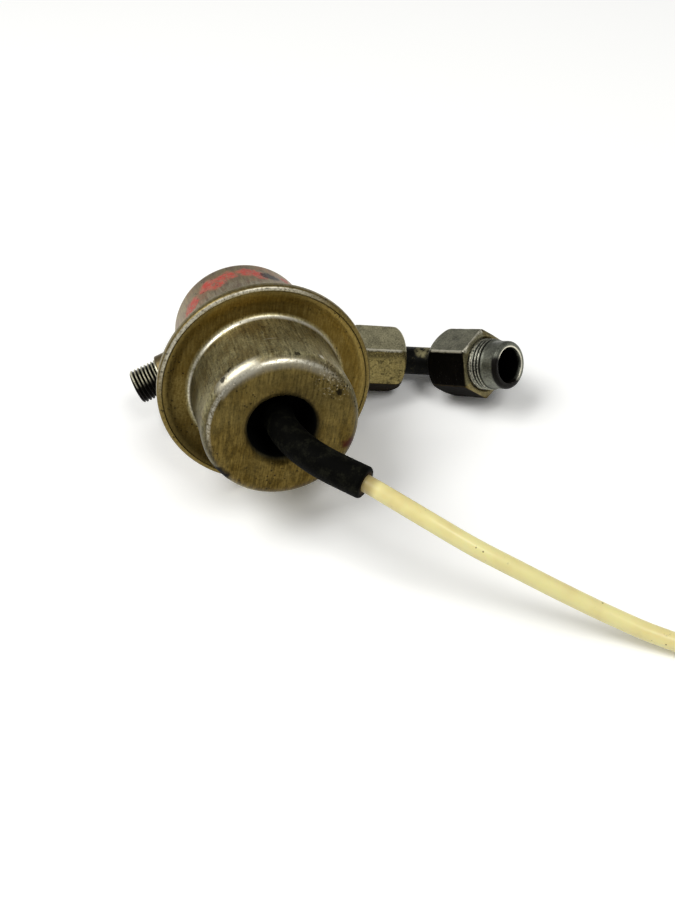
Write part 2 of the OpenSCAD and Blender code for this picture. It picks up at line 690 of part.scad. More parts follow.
// Coupling: cone mouth, thread in the nut, relief, thread outside, plain nose with a second cone mouth
module coupling() {
    far = coupling_end;
    nose_r = nose_d / 2;
    color(steel) at_rest() at_outer_nut() rotate_extrude() polygon([
        [cone_mouth_r, mouth_at], [union_r - thread_chamfer, mouth_at], [union_r, mouth_at + thread_chamfer],
        [union_r, relief_end - relief_len], [union_r - relief_depth, relief_end - relief_len],
        [union_r - relief_depth, relief_end], [union_r, relief_end],
        [union_r, male_thread_end - thread_chamfer], [nose_r, male_thread_end],
        [nose_r, far - thread_chamfer], [nose_r - thread_chamfer, far], [cone_mouth_r, far],
        [socket_r, far - cone_depth], [socket_r, far - cone_depth - socket_len],
        [union_bore_r, far - cone_depth - socket_len], [union_bore_r, mouth_at + cone_depth + socket_len],
        [socket_r, mouth_at + cone_depth + socket_len], [socket_r, mouth_at + cone_depth]]);
}

// Turned nipple with a head under the bottom of the well
module vacuum_nipple() {
    base = well_floor - shell_t - nipple_head_h - joint_gap;
    tip = well_floor + nipple_len;
    color(steel) at_rest() rotate_extrude() polygon([
        [nipple_bore_d / 2, base], [nipple_head_r, base], [nipple_head_r, base + nipple_head_h],
        [nipple_r, base + nipple_head_h], [nipple_r, tip - nipple_chamfer], [nipple_r - nipple_chamfer, tip],
        [nipple_bore_d / 2, tip]]);
}

// Hose end on the nipple, bent out of the well towards the supply stub's side
module rubber_sleeve() {
    color(rubber) at_rest() rotate([0, 0, sleeve_turn]) translate([0, 0, sleeve_start])
        bent_tube(sleeve_r, sleeve_bore_r, sleeve_foot,
            sleeve_bend_r, sleeve_bend, sleeve_end, sleeve_thinning);
}

// Nylon line along its route, as rings square to the run
function ring_heading(points, i) = let (a = points[max(i - 1, 0)], b = points[min(i + 1, len(points) - 1)])
    (b - a) / norm(b - a);
function ring_side(t) = cross(t, [0, 0, 1]) / norm(cross(t, [0, 0, 1]));
function ring_points(points, r, sides) = [for (i = [0 : len(points) - 1])
    let (t = ring_heading(points, i), s = ring_side(t), u = cross(s, t))
    for (k = [0 : sides - 1]) points[i] + r * (cos(360 * k / sides) * s + sin(360 * k / sides) * u)];
module vacuum_line() {
    color(nylon) polyhedron(
        ring_points(line_points, line_r, line_sides), tube_faces(len(line_points), line_sides));
}

// Rubber connector on the line's far end, lying on the floor
module line_connector() {
    last = line_points[len(line_points) - 1];
    heading = ring_heading(line_points, len(line_points) - 1);
    color(rubber) translate([last.x, last.y, sleeve_r])
        rotate([0, 90, atan2(heading.y, heading.x)])
            translate([0, 0, -connector_grip])
                linear_extrude(connector_len) annulus(sleeve_r, line_r + joint_gap);
}

spring_housing();
fuel_housing();
diaphragm();
pressure_spring();
spring_seat();
support_washer();
valve_carrier();
valve_ball();
valve_plate();
plate_ring();
seat_tube();
return_block();
return_stub();
supply_stub();
inner_nut();
inner_cone();
link_pipe();
outer_cone();
outer_nut();
coupling();
vacuum_nipple();
rubber_sleeve();
vacuum_line();
line_connector();
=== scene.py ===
import json
import math

import bmesh
import bpy
from mathutils import Matrix, Vector, noise


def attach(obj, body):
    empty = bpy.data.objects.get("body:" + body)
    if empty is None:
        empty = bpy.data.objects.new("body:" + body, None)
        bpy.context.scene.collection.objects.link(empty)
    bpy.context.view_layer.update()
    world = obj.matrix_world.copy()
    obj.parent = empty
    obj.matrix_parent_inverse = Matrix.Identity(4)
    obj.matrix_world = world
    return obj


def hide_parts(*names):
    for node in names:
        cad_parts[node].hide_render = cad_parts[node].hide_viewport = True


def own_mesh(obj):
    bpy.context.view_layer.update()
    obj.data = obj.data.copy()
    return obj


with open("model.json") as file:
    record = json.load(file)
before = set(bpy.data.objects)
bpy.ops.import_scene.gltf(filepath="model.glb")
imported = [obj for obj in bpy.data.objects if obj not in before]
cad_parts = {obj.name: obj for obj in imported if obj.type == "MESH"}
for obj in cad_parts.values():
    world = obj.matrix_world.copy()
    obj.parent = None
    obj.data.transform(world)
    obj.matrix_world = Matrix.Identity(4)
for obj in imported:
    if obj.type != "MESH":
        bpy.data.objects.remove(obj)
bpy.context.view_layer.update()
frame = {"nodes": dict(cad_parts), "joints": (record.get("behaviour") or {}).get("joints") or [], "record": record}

bl_info = {
    "name": "Fuel pressure regulator",
    "version": (1, 0, 0),
    "blender": (4, 5, 0),
    "location": "View3D > Sidebar > Regulator",
    "description": "Dresses a worn sheet-steel fuel pressure regulator, its unions and its vacuum line",
    "category": "Object",
}

MM = 0.001
UP = Vector((0, 0, 1))

# Places, from the frame's joint and mounts; distances are along or across the regulator's axis
MOUNTS = {mount["name"]: mount for mount in frame["record"]["mounts"]}
AXIS = Vector(frame["joints"][0]["axis"]).normalized()
RETURN_SIDE = Vector(MOUNTS["return_thread"]["axis"])
OUTLET_SIDE = Vector(MOUNTS["coupling_socket"]["axis"])
PORT_SPREAD = math.radians(149)
RETURN_BEHIND = 32.9 * MM
RETURN_THREAD_MIDDLE = 30.3 * MM
SUPPLY_BEHIND = 21.6 * MM
NUT_REACH = 43.1 * MM
PIPE_CORNER = 52 * MM
PIPE_BEND = 9 * MM
PIPE_IN_NUT = 9.4 * MM
NUT_GAP = 8.2 * MM
SOCKET_MIDDLE = 17.19 * MM
RIM_CENTRE = (Vector(MOUNTS["return_thread"]["pos_m"])
              - RETURN_THREAD_MIDDLE * RETURN_SIDE + RETURN_BEHIND * AXIS)
SUPPLY_SIDE = Matrix.Rotation(PORT_SPREAD, 3, AXIS) @ RETURN_SIDE


def placed(origin, along, across):
    """Axes at origin with z along one direction and x as near to another as it can be."""
    z = along.normalized()
    x = (across - across.dot(z) * z).normalized()
    turned = Matrix((x, z.cross(x), z)).transposed().to_4x4()
    return Matrix.Translation(origin) @ turned


SUPPLY_CENTRE = RIM_CENTRE - SUPPLY_BEHIND * AXIS
BODY = placed(RIM_CENTRE, AXIS, SUPPLY_SIDE)
RETURN = placed(RIM_CENTRE - RETURN_BEHIND * AXIS, RETURN_SIDE, -AXIS)
SUPPLY = placed(SUPPLY_CENTRE, SUPPLY_SIDE, -AXIS)
INNER_UNION = placed(SUPPLY_CENTRE + NUT_REACH * SUPPLY_SIDE, -SUPPLY_SIDE, -AXIS)
OUTER_UNION = placed(Vector(MOUNTS["coupling_socket"]["pos_m"]) - SOCKET_MIDDLE * OUTLET_SIDE,
                     OUTLET_SIDE, SUPPLY_SIDE)

# The vacuum line's route in millimetres, as the part has it
LINE_ROUTE = (
    (-8.15, -49.5, 33), (-4.15, -54, 32.5), (0.35, -59.5, 31), (6.35, -66.5, 28.5), (13.85, -73.5, 24),
    (21.85, -79.5, 19), (30.35, -85.5, 13.5), (38.85, -91.5, 8.5), (46.85, -97.5, 5), (56.35, -104.5, 3),
    (66.35, -110.5, 2.5), (77.35, -115.5, 2.5), (88.35, -119, 3), (98.35, -121.5, 3.9), (107.35, -123, 3.9),
)


def colour_prop(name, description, default):
    return bpy.props.FloatVectorProperty(
        name=name, description=description, default=default, size=3, min=0, max=1, subtype="COLOR")


def number_prop(name, description, default, least=0, **kind):
    return bpy.props.FloatProperty(
        name=name, description=description, default=default, min=least, **kind)


def length_prop(name, description, default):
    return number_prop(name, description, default, subtype="DISTANCE", unit="LENGTH")


def power_prop(name, description, default):
    return number_prop(name, description, default, subtype="POWER", unit="POWER")


class ShellSizes(bpy.types.PropertyGroup):
    """Sizes of the two drawn shells."""

    rim: length_prop("Rim", "Diameter over the rolled rim", 0.056)
    cup: length_prop("Cup", "Outside diameter of both cups", 0.039)
    front: length_prop("Front", "Height of the front cup above the rim", 0.0216)
    rear: length_prop("Rear", "Depth of the rear cup behind the rim", 0.0409)
    sheet: length_prop("Sheet", "Thickness of the sheet", 0.001)
    edge: length_prop("Edge", "Radius at the closed end of a cup", 0.0035)
    root: length_prop("Root", "Radius at the root of a cup", 0.002)
    well: length_prop("Well", "Diameter of the well in the front cup", 0.017)
    well_depth: length_prop("Well depth", "Depth of the well", 0.015)
    dent: length_prop("Dent", "Unevenness of the drawn sheet", 0.00006)


class UnionSizes(bpy.types.PropertyGroup):
    """Sizes of the stubs, nuts, pipe and coupling."""

    flats: length_prop("Flats", "Width of a nut across its flats", 0.017)
    nut: length_prop("Nut", "Length of a nut", 0.0145)
    dome: length_prop("Dome", "Length of a nut's rounded end", 0.0032)
    end: length_prop("End", "Diameter of the flat on a nut's rounded end", 0.0118)
    thread: length_prop("Thread", "Diameter of the union thread", 0.014)
    pitch: length_prop("Pitch", "Pitch of the union thread", 0.0015)
    return_thread: length_prop("Return thread", "Diameter of the return stub's thread", 0.01)
    return_pitch: length_prop("Return pitch", "Pitch of the return stub's thread", 0.00103)
    pipe: length_prop("Pipe", "Diameter of the pipe", 0.008)
    softness: length_prop("Softness", "Rounding of a nut's corners", 0.0003)


class LineSizes(bpy.types.PropertyGroup):
    """Sizes of the vacuum line."""

    line: length_prop("Line", "Diameter of the nylon line", 0.0042)
    sleeve: length_prop("Sleeve", "Diameter of the rubber sleeve and connector", 0.0078)
    foot: length_prop("Foot", "Height of the sleeve's start above the rim", 0.0078)
    connector: length_prop("Connector", "Length of the rubber connector", 0.018)
    grip: length_prop("Grip", "Length of line inside the connector", 0.006)


class FinishColours(bpy.types.PropertyGroup):
    """Colours of the finishes, as they are seen."""

    gold: colour_prop("Gold", "Passivated zinc where it kept its colour", (0.185, 0.136, 0.042))
    brown: colour_prop("Brown", "Passivated zinc darkened by age", (0.115, 0.074, 0.0145))
    olive: colour_prop("Olive", "Zinc with its colour washed out", (0.32, 0.285, 0.15))
    # Bare is also used for painted highlights along lit edges.
    bare: colour_prop("Bare", "Steel worn bare on the edges", (0.84, 0.8, 0.65))
    # Dirt is also used for painted shade: in the well, in bores and on a nut's lower flats.
    dirt: colour_prop("Dirt", "Oil and dirt", (0.005, 0.004, 0.003))
    rust: colour_prop("Rust", "Rust on the front edge", (0.05, 0.013, 0.006))
    paint: colour_prop("Paint", "Red paint on the rear cup", (0.49, 0.065, 0.046))
    drab: colour_prop("Drab", "Dull steel of the rear cup", (0.29, 0.21, 0.135))
    steel: colour_prop("Steel", "Clean steel inside", (0.5, 0.5, 0.48))
    soot: colour_prop("Soot", "Blackened pipe", (0.006, 0.006, 0.005))
    # Rubber is also used to paint the inside of the front cup's well black, as shade.
    rubber: colour_prop("Rubber", "Rubber sleeve", (0.0025, 0.0025, 0.002))
    bloom: colour_prop("Bloom", "Bloom on the rubber", (0.02, 0.02, 0.012))
    browned: colour_prop("Browned", "Rubber round the line at the sleeve's mouth", (0.07, 0.04, 0.016))
    nylon: colour_prop("Nylon", "Nylon line", (0.95, 0.86, 0.395))
    amber: colour_prop("Amber", "Nylon yellowed by age", (0.62, 0.43, 0.13))
    mouth_darkening: colour_prop("Grimy", "Nylon at the sleeve's mouth", (0.3, 0.2, 0.065))
    fleck: colour_prop("Fleck", "Flecks of dirt on the nylon", (0.1, 0.06, 0.02))
    # Painted light: the inner nut's top flat is paler, as lit from above.
    inner_top: colour_prop("Inner top", "Top flat of the inner nut", (0.44, 0.405, 0.25))
    inner_front: colour_prop("Inner front", "Pitted front flat of the inner nut", (0.285, 0.23, 0.088))
    # Painted light: the outer nut's top flat is paler, as lit from above.
    outer_top: colour_prop("Outer top", "Top flat of the outer nut", (0.235, 0.23, 0.165))
    return_stub: colour_prop("Return stub", "Plated steel of the return stub", (0.62, 0.6, 0.44))
    supply_stub: colour_prop("Supply stub", "Plated steel of the supply stub", (0.2, 0.17, 0.1))
    coupling: colour_prop("Coupling", "Plated steel of the coupling", (0.17, 0.175, 0.14))
    wire: colour_prop("Wire", "Spring wire", (0.32, 0.32, 0.33))
    plated: colour_prop("Plated", "Plated pieces inside", (0.44, 0.37, 0.2))
    cloth: colour_prop("Cloth", "Rubber and cloth of the diaphragm", (0.02, 0.019, 0.018))


class StageLook(bpy.types.PropertyGroup):
    """Floor, light and camera."""

    floor: colour_prop("Floor", "Pale floor", (0.84, 0.84, 0.825))
    shown: number_prop("Shown", "How much paler the floor is shown than it lights", 1.42, least=1)
    sky: number_prop("Sky", "Strength of the light from all round", 0.29)
    large_lamp: power_prop("Large lamp", "Power of the large lamp, high up on the left", 7.7)
    small_lamp: power_prop("Small lamp", "Power of the small lamp at the right front", 2.3)
    lens: number_prop("Lens", "Focal length on a 36 mm sensor", 38, least=1, subtype="DISTANCE_CAMERA")


class Wire:
    """A shader socket that takes part in arithmetic."""

    def __init__(self, finish, socket):
        self.finish = finish
        self.socket = socket

    def maths(self, operation, *values):
        return self.finish.node("ShaderNodeMath", {"operation": operation}, dict(enumerate(values)))

    def __add__(self, other):
        return self.maths("ADD", self, other)

    def __sub__(self, other):
        return self.maths("SUBTRACT", self, other)

    def __rsub__(self, other):
        return self.maths("SUBTRACT", other, self)

    def __mul__(self, other):
        return self.maths("MULTIPLY", self, other)

    def __truediv__(self, other):
        return self.maths("DIVIDE", self, other)

    def __pow__(self, other):
        return self.maths("POWER", self, other)

    __radd__ = __add__
    __rmul__ = __mul__

    def most(self, other):
        return self.maths("MAXIMUM", self, other)

    def above(self, low, high):
        """0 below low, 1 above high, and smooth between."""
        return self.finish.node(
            "ShaderNodeMapRange", {"interpolation_type": "SMOOTHSTEP"},
            {"Value": self, "From Min": low, "From Max": high})

    def below(self, low, high):
        return 1 - self.above(low, high)

    def between(self, low, high, soft):
        return self.above(low - soft, low + soft) * self.below(high - soft, high + soft)


class Finish:
    """A material in the making."""

    def __init__(self, name):
        self.material = bpy.data.materials.new(name)
        self.material.use_nodes = True
        self.tree = self.material.node_tree
        self.tree.nodes.clear()

    def node(self, kind, settings=None, inputs=None, output=0):
        made = self.tree.nodes.new(kind)
        for name, value in (settings or {}).items():
            setattr(made, name, value)
        for key, value in (inputs or {}).items():
            if isinstance(value, Wire):
                self.tree.links.new(value.socket, made.inputs[key])
            else:
                made.inputs[key].default_value = value
        return Wire(self, made.outputs[output]) if made.outputs else None

    def own_axes(self, place):
        """Object coordinates in millimetres on a piece's own axes."""
        where = self.node("ShaderNodeTexCoord", output="Object")
        return self.node("ShaderNodeMapping", {"vector_type": "TEXTURE"}, {
            "Vector": where, "Location": place.translation, "Rotation": place.to_euler(),
            "Scale": (MM, MM, MM)})

    def round_axes(self, place):
        """A piece's own coordinates, their three parts and the distance from its axis."""
        at = self.own_axes(place)
        x, y, z = self.parts(at)
        return at, x, y, z, (x * x + y * y) ** 0.5

    def parts(self, vector):
        split = self.node("ShaderNodeSeparateXYZ", inputs={0: vector})
        outputs = split.socket.node.outputs
        return [Wire(self, outputs[k]) for k in range(3)]

    def scaled(self, colour, factor):
        """A colour made lighter or darker."""
        return self.node("ShaderNodeVectorMath", {"operation": "SCALE"}, {
            0: colour if isinstance(colour, Wire) else tuple(colour), "Scale": factor})

    def stretched(self, vector, scale):
        return self.node("ShaderNodeVectorMath", {"operation": "MULTIPLY"}, {0: vector, 1: scale})

    def shaken(self, vector, scale, amount):
        """The same coordinates with ragged edges."""
        shift = self.node("ShaderNodeTexNoise", inputs={
            "Vector": vector, "Scale": scale, "Detail": 4.0}, output="Color")
        middled = self.node("ShaderNodeVectorMath", {"operation": "SUBTRACT"}, {
            0: shift, 1: (0.5, 0.5, 0.5)})
        return self.node("ShaderNodeVectorMath", {"operation": "MULTIPLY_ADD"}, {
            0: middled, 1: (amount, amount, amount), 2: vector})

    def cloud(self, vector, scale, detail=3.0, roughness=0.5):
        return self.node("ShaderNodeTexNoise", inputs={
            "Vector": vector, "Scale": scale, "Detail": detail, "Roughness": roughness}, output="Fac")

    def pits(self, vector, scale, size):
        """Round specks about size cells across, at one in a few of the cells."""
        cells = self.node("ShaderNodeTexVoronoi", inputs={
            "Vector": vector, "Scale": scale}, output="Distance")
        pick = self.cloud(vector, scale / 4, 2.0)
        return cells.below(size * 0.6, size) * pick.above(0.5, 0.6)

    def spot(self, vector, centre, radius):
        """1 within radius of a point, and 0 beyond it."""
        gap = self.node("ShaderNodeVectorMath", {"operation": "DISTANCE"}, {0: vector, 1: centre}, "Value")
        return gap.below(radius * 0.55, radius)

    def mixed(self, under, over, share):
        return self.node("ShaderNodeMix", {"data_type": "RGBA"}, {
            0: share, 6: shade(under), 7: shade(over)}, 2)

    def surface(self, colour, roughness, metallic, height, depth=0.1 * MM, **fixed):
        """Ends the material in one principled shader; height and depth give its relief."""
        relief = self.node("ShaderNodeBump", inputs={"Strength": 1.0, "Distance": depth, "Height": height})
        inputs = {
            "Base Color": shade(colour), "Roughness": roughness, "Metallic": metallic, "Normal": relief}
        for name, value in fixed.items():
            inputs[name.replace("_", " ")] = value
        shader = self.node("ShaderNodeBsdfPrincipled", inputs=inputs)
        self.node("ShaderNodeOutputMaterial", inputs={"Surface": shader})
        return self.material


def shade(colour):
    """A colour's three numbers as a socket's four; a wire stays as it is."""
    return colour if isinstance(colour, Wire) else (*colour[:3], 1.0)


# Spots of wear, and the side where edges are both worn and painted with highlights, on the regulator's own axes in
# millimetres
RUST_SPOT = (17.2, -3.6, 20.2)
PITTED_EDGE = (11.0, 13.4, 20.6)
OILY_EDGE = (-13.6, -13.8, 19.0)
RIM_KNOCKS = ((-15.9, 11.6, 19.4), (-14.2, 13.6, 18.0), (1.0, 19.5, 19.6), (12.2, 10.6, 21.5))
BRIGHT_NICK = (7.5, 18.0, 18.2)
SCRATCH = Vector((-3.8, 19.1, 11.6))
SCRATCH_SHAPE = Vector((0.4, 1, 3.5))
OLIVE_DISH = (-22.8, -4.0, -0.6)
# The rubbed patch on the front edge is also painted as a highlight.
RUBBED_LIT_EDGE = (-12.5, 13.0, 20.4)
# The side, across the axis, where edges are worn and painted with highlights, as lit.
WORN_LIT_SIDE = Vector((-0.55, 0.83, 0)).normalized()
BROWN_ON_PIPE = (50.6, 3.6, -20.4)

# Dabs on the rear cup: degrees round it, height and radius in millimetres
PAINT_DABS = ((150, -28.4, 3.9), (131, -31.4, 3.6), (122, -30.2, 4.0), (113, -32.0, 3.6), (95, -32.4, 3.6),
              (86, -30.4, 3.2), (61, -33.4, 2.8))
BURNT_DAB = (77, -31.2, 3.0)

# Cosines between which a nut's flat ends at its corner
FLAT_EDGE = (0.852, 0.88)


def shell_lengths():
    """Radius of the cups, of the rim and of the well, and height of the front cup, in millimetres."""
    sizes = bpy.context.scene.regulator_shells
    return sizes.cup / 2 / MM, sizes.rim / 2 / MM, sizes.well / 2 / MM, sizes.front / MM


def on_cup(angle, height):
    """A point on a cup's wall, in millimetres on the regulator's axes."""
    radius = shell_lengths()[0]
    turn = math.radians(angle)
    return (radius * math.cos(turn), radius * math.sin(turn), height)


def towards(way, x, y, reach):
    """How squarely a point faces a way across the axis, from 1 to -1."""
    return (x * way.x + y * way.y) / reach


def front_zinc(name, colours):
    """Worn yellow-passivated zinc: streaked wall, brown dish, edges worn bare and painted with highlights on their
    lit side, painted shade and light on wall and dish, and a well painted black as shade.
    """
    cup, rim, hole, top = shell_lengths()
    f = Finish(name)
    at, x, y, z, r = f.round_axes(BODY)
    streak = f.cloud(f.stretched(at, (2.4, 0.3, 0.3)), 1.0, 4.0, 0.62)
    axial = f.cloud(f.stretched(at, (1.5, 1.5, 0.14)), 1.0, 4.0, 0.6)
    patch = f.cloud(at, 0.14, 3.0)
    grain = f.cloud(at, 1.7, 5.0, 0.7)
    ragged = f.shaken(at, 0.5, 3.0)
    worn_lit_side = towards(WORN_LIT_SIDE, x, y, r + 1.0)
    # Colour of the wall, the face and the dish
    dish = r.above(cup + 0.7, cup + 1.7)
    face = z.above(top - 1.8, top - 0.4)
    aged = f.mixed(colours.gold, colours.brown, (axial * 0.7 + grain * 0.5).above(0.42, 0.78))
    wall = f.mixed(colours.olive, aged, (patch * 0.8 + axial * 0.6).above(0.52, 0.9) * 0.75)
    front = f.mixed(colours.gold, colours.brown, (patch * 0.9 + streak * 0.5 - y * 0.012).above(0.45, 0.9))
    faded = (f.cloud(at, 0.3, 4.0, 0.6) * 0.7 + streak * 0.35 + grain * 0.2).above(0.5, 0.8)
    front = f.mixed(f.scaled(front, 0.68), f.scaled(colours.gold, 1.5), faded * 0.3)
    base = f.mixed(wall, front, face)
    hollow = f.mixed(colours.brown, colours.gold, (streak * 0.7 + patch * 0.5).above(0.5, 0.85) * 0.7)
    hollow = f.mixed(hollow, colours.gold, f.spot(ragged, OLIVE_DISH, 8.0) * grain.above(0.35, 0.6) * 0.7)
    # Painted highlight: the dish is paler towards the rim, where its rise catches the light.
    hollow = f.mixed(hollow, colours.gold, r.above(rim - 3.6, rim - 2.0) * 0.6)
    base = f.mixed(base, hollow, dish)
    # Streaks and grain; then painted shade and painted highlight: the lower dish and the wall's left and right
    # sides darker, the upper wall and dish paler, the dish by the rim paler towards the right and the top, and the
    # middle of the dish's top darker again
    streaky = (streak - 0.5) * (2.2 - dish * 1.5)
    grainy = (grain - 0.5) * (2.8 - dish.most(face) * 1.4)
    tone = (streaky + grainy + 1.0).most(0.3)
    outside = r.above(cup - 0.7, cup - 0.2)
    painted_shade_and_light = 1.0 - dish * y.below(-18.0, 2.0) * 0.6 + y.above(2.0, 18.0) * outside * 0.35
    # Painted shade: the wall is darker on its left and right sides.
    sides = x.below(-17.0, -9.0) * y.below(-6.0, 8.0) * 0.6 + x.above(7.0, 15.0) * 0.35
    painted_shade_and_light = painted_shade_and_light - sides * r.between(cup - 1.5, cup + 0.5, 0.4)
    # Painted highlight: the dish by the rim is paler towards the right and the top.
    painted_rim_highlight = r.between(rim - 4.0, rim - 1.8, 0.6)
    painted_shade_and_light = painted_shade_and_light + painted_rim_highlight * (x.above(6.0, 20.0) + y.above(12.0, 24.0) * 0.6) * 0.7
    painted_shade_and_light = painted_shade_and_light - dish * y.above(15.0, 21.0) * x.between(-6.0, 9.0, 4.0) * 0.45
    base = f.scaled(base, tone * painted_shade_and_light)
    # Metal worn bare along the edges, at a nick, a scratch and among the pits; and painted highlights on the
    # edges' lit side: along the ridge of the front edge, on the rubbed patch, along the root fillet, and as a
    # broad crown on top of the front edge
    ridge_wear_and_highlight = r.between(cup - 1.9, cup - 1.2, 0.3) * z.above(top - 2.0, top - 1.4)
    ridge_wear_and_highlight = ridge_wear_and_highlight * worn_lit_side.above(0.1, 0.8)
    rub_and_highlight = f.spot(f.shaken(at, 0.4, 3.0), RUBBED_LIT_EDGE, 7.5)
    rub_and_highlight = rub_and_highlight * r.above(cup - 2.9, cup - 1.9) * z.above(top - 3.6, top - 2.4)
    # Painted highlight: a thin line along the root fillet, on the lit side.
    root = r.between(cup + 0.25, cup + 0.85, 0.22) * z.between(-0.15, 0.75, 0.3)
    root = root * worn_lit_side.above(-0.3, 0.7)
    nick = f.spot(f.shaken(at, 0.9, 1.6), BRIGHT_NICK, 0.9)
    scratch = f.spot(f.stretched(at, SCRATCH_SHAPE), SCRATCH * SCRATCH_SHAPE, 0.9)
    pitted = f.spot(f.shaken(at, 0.35, 4.0), PITTED_EDGE, 6.0)
    crater = pitted * f.pits(at, 1.3, 0.42)
    bare_and_highlight = (ridge_wear_and_highlight * (grain + axial * 0.6).above(0.55, 0.95)).most(rub_and_highlight * (0.25 + grain * 0.5))
    bare_and_highlight = bare_and_highlight.most(root * (grain + patch).above(0.6, 1.1))
    bare_and_highlight = bare_and_highlight.most(nick * 0.7).most(scratch * 0.4).most(pitted * grain.above(0.56, 0.68) * 0.5)
    # Painted highlight: a broad pale crown on the top of the front edge.
    painted_crown_highlight = r.between(cup - 2.9, cup - 1.1, 1.0) * z.above(top - 2.8, top - 1.8)
    painted_crown_highlight = painted_crown_highlight * y.above(9.0, 15.0) * x.below(5.0, 13.0)
    base = f.mixed(base, f.mixed(colours.bare, colours.gold, 0.3), painted_crown_highlight * (0.25 + grain * 0.5))
    base = f.mixed(base, colours.bare, bare_and_highlight)
    # Oil, knocks, pits and a spot of rust; and painted shade: the inside of the well painted black
    soiled = f.spot(ragged, OILY_EDGE, 3.8)
    chipped = f.shaken(at, 1.2, 1.5)
    for knock in RIM_KNOCKS:
        soiled = soiled.most(f.spot(chipped, knock, 1.0) * 0.85)
    speck = f.pits(at, 0.8, 0.26)
    seam = r.between(rim - 1.4, rim - 1.2, 0.1) * patch.above(0.4, 0.65) * 0.5
    # Painted shade: the well's inside is painted black, first in the dirt colour and then in the rubber's.
    well = r.below(hole + 0.1, hole + 1.9) * z.below(top - 2.2, top + 0.02)
    soiled = soiled.most(speck * 0.6).most(crater * 0.7).most(seam)
    base = f.mixed(base, colours.dirt, soiled.most(well))
    rusty = f.spot(ragged, RUST_SPOT, 2.6)
    base = f.mixed(base, colours.rust, rusty)
    base = f.mixed(base, colours.rubber, well)
    rough = 0.36 + grain * 0.2 + well.most(soiled) * 0.3 - bare_and_highlight * 0.16
    relief = grain * 0.3 + axial * 0.2 - crater - speck * 0.7
    return f.surface(base, rough, 0.96 - well * 0.9, relief, Specular_IOR_Level=0.05)


def rear_steel(name, colours):
    """Dull grey-brown steel with red paint left on top, and a gold-brown rolled rim with a painted highlight along
    the top of its lip.
    """
    cup, rim = shell_lengths()[:2]
    f = Finish(name)
    at, x, y, z, r = f.round_axes(BODY)
    streak = f.cloud(f.stretched(at, (1.2, 1.2, 0.2)), 1.0, 4.0, 0.6)
    patch = f.cloud(at, 0.2, 4.0, 0.6)
    grain = f.cloud(at, 1.6, 5.0, 0.7)
    ragged = f.shaken(f.shaken(at, 0.3, 4.0), 1.2, 1.6)
    worn_lit_side = towards(WORN_LIT_SIDE, x, y, r + 1.0)
    dab = 0.0
    for angle, height, size in PAINT_DABS:
        dab = f.spot(ragged, on_cup(angle, height), size).most(dab)
    chipped = dab * (grain * 0.7 + patch * 0.5).above(0.42, 0.64)
    angle, height, size = BURNT_DAB
    burnt = f.spot(ragged, on_cup(angle, height), size)
    base = f.mixed(colours.drab, colours.olive, (patch * 0.7 + streak * 0.6).above(0.52, 0.78))
    base = f.mixed(base, colours.bare, z.above(-29.0, -24.0) * streak.above(0.35, 0.65) * 0.22)
    blush = patch.above(0.44, 0.68) * z.below(-26.0, -20.0) * y.above(0.0, 12.0)
    base = f.mixed(base, colours.paint, blush * 0.3)
    base = f.scaled(base, (streak - 0.5) * 0.8 + (grain - 0.5) * 1.2 + 1.0)
    on_rim = r.above(cup + 1.1, cup + 2.5)
    rolled = f.mixed(colours.olive, colours.gold, (streak * 0.6 - z * 0.12).below(0.35, 0.7))
    rolled = f.scaled(rolled, (grain - 0.5) * 2.4 + 1.0)
    # Painted highlight: the lip is paler along its top, on the lit side.
    lip = r.between(rim - 1.3, rim - 0.3, 0.2) * z.above(-0.6, -0.15) * worn_lit_side.above(0.35, 0.9)
    rolled = f.mixed(rolled, colours.bare, lip * grain.above(0.25, 0.6))
    base = f.mixed(base, rolled, on_rim)
    flaked = f.cloud(at, 0.7, 4.0, 0.7)
    paint = f.mixed(colours.paint, colours.drab, flaked.above(0.46, 0.62) * 0.45)
    base = f.mixed(base, f.scaled(paint, 0.3 + grain * 0.9 + flaked * 0.5), chipped)
    speck = f.pits(at, 0.75, 0.28)
    behind_rim = z.below(-3.0, -2.2) * r.above(cup + 2.0, cup + 4.5) * patch.above(0.4, 0.6)
    soiled = burnt.most(speck * 0.7).most(behind_rim * 0.5)
    base = f.mixed(base, colours.dirt, soiled * 0.9)
    metal = 0.88 - chipped * 0.88
    relief = grain * 0.25 + chipped * 0.4 - speck * 0.8
    return f.surface(base, 0.34 + grain * 0.18, metal, relief, Specular_IOR_Level=0.15)


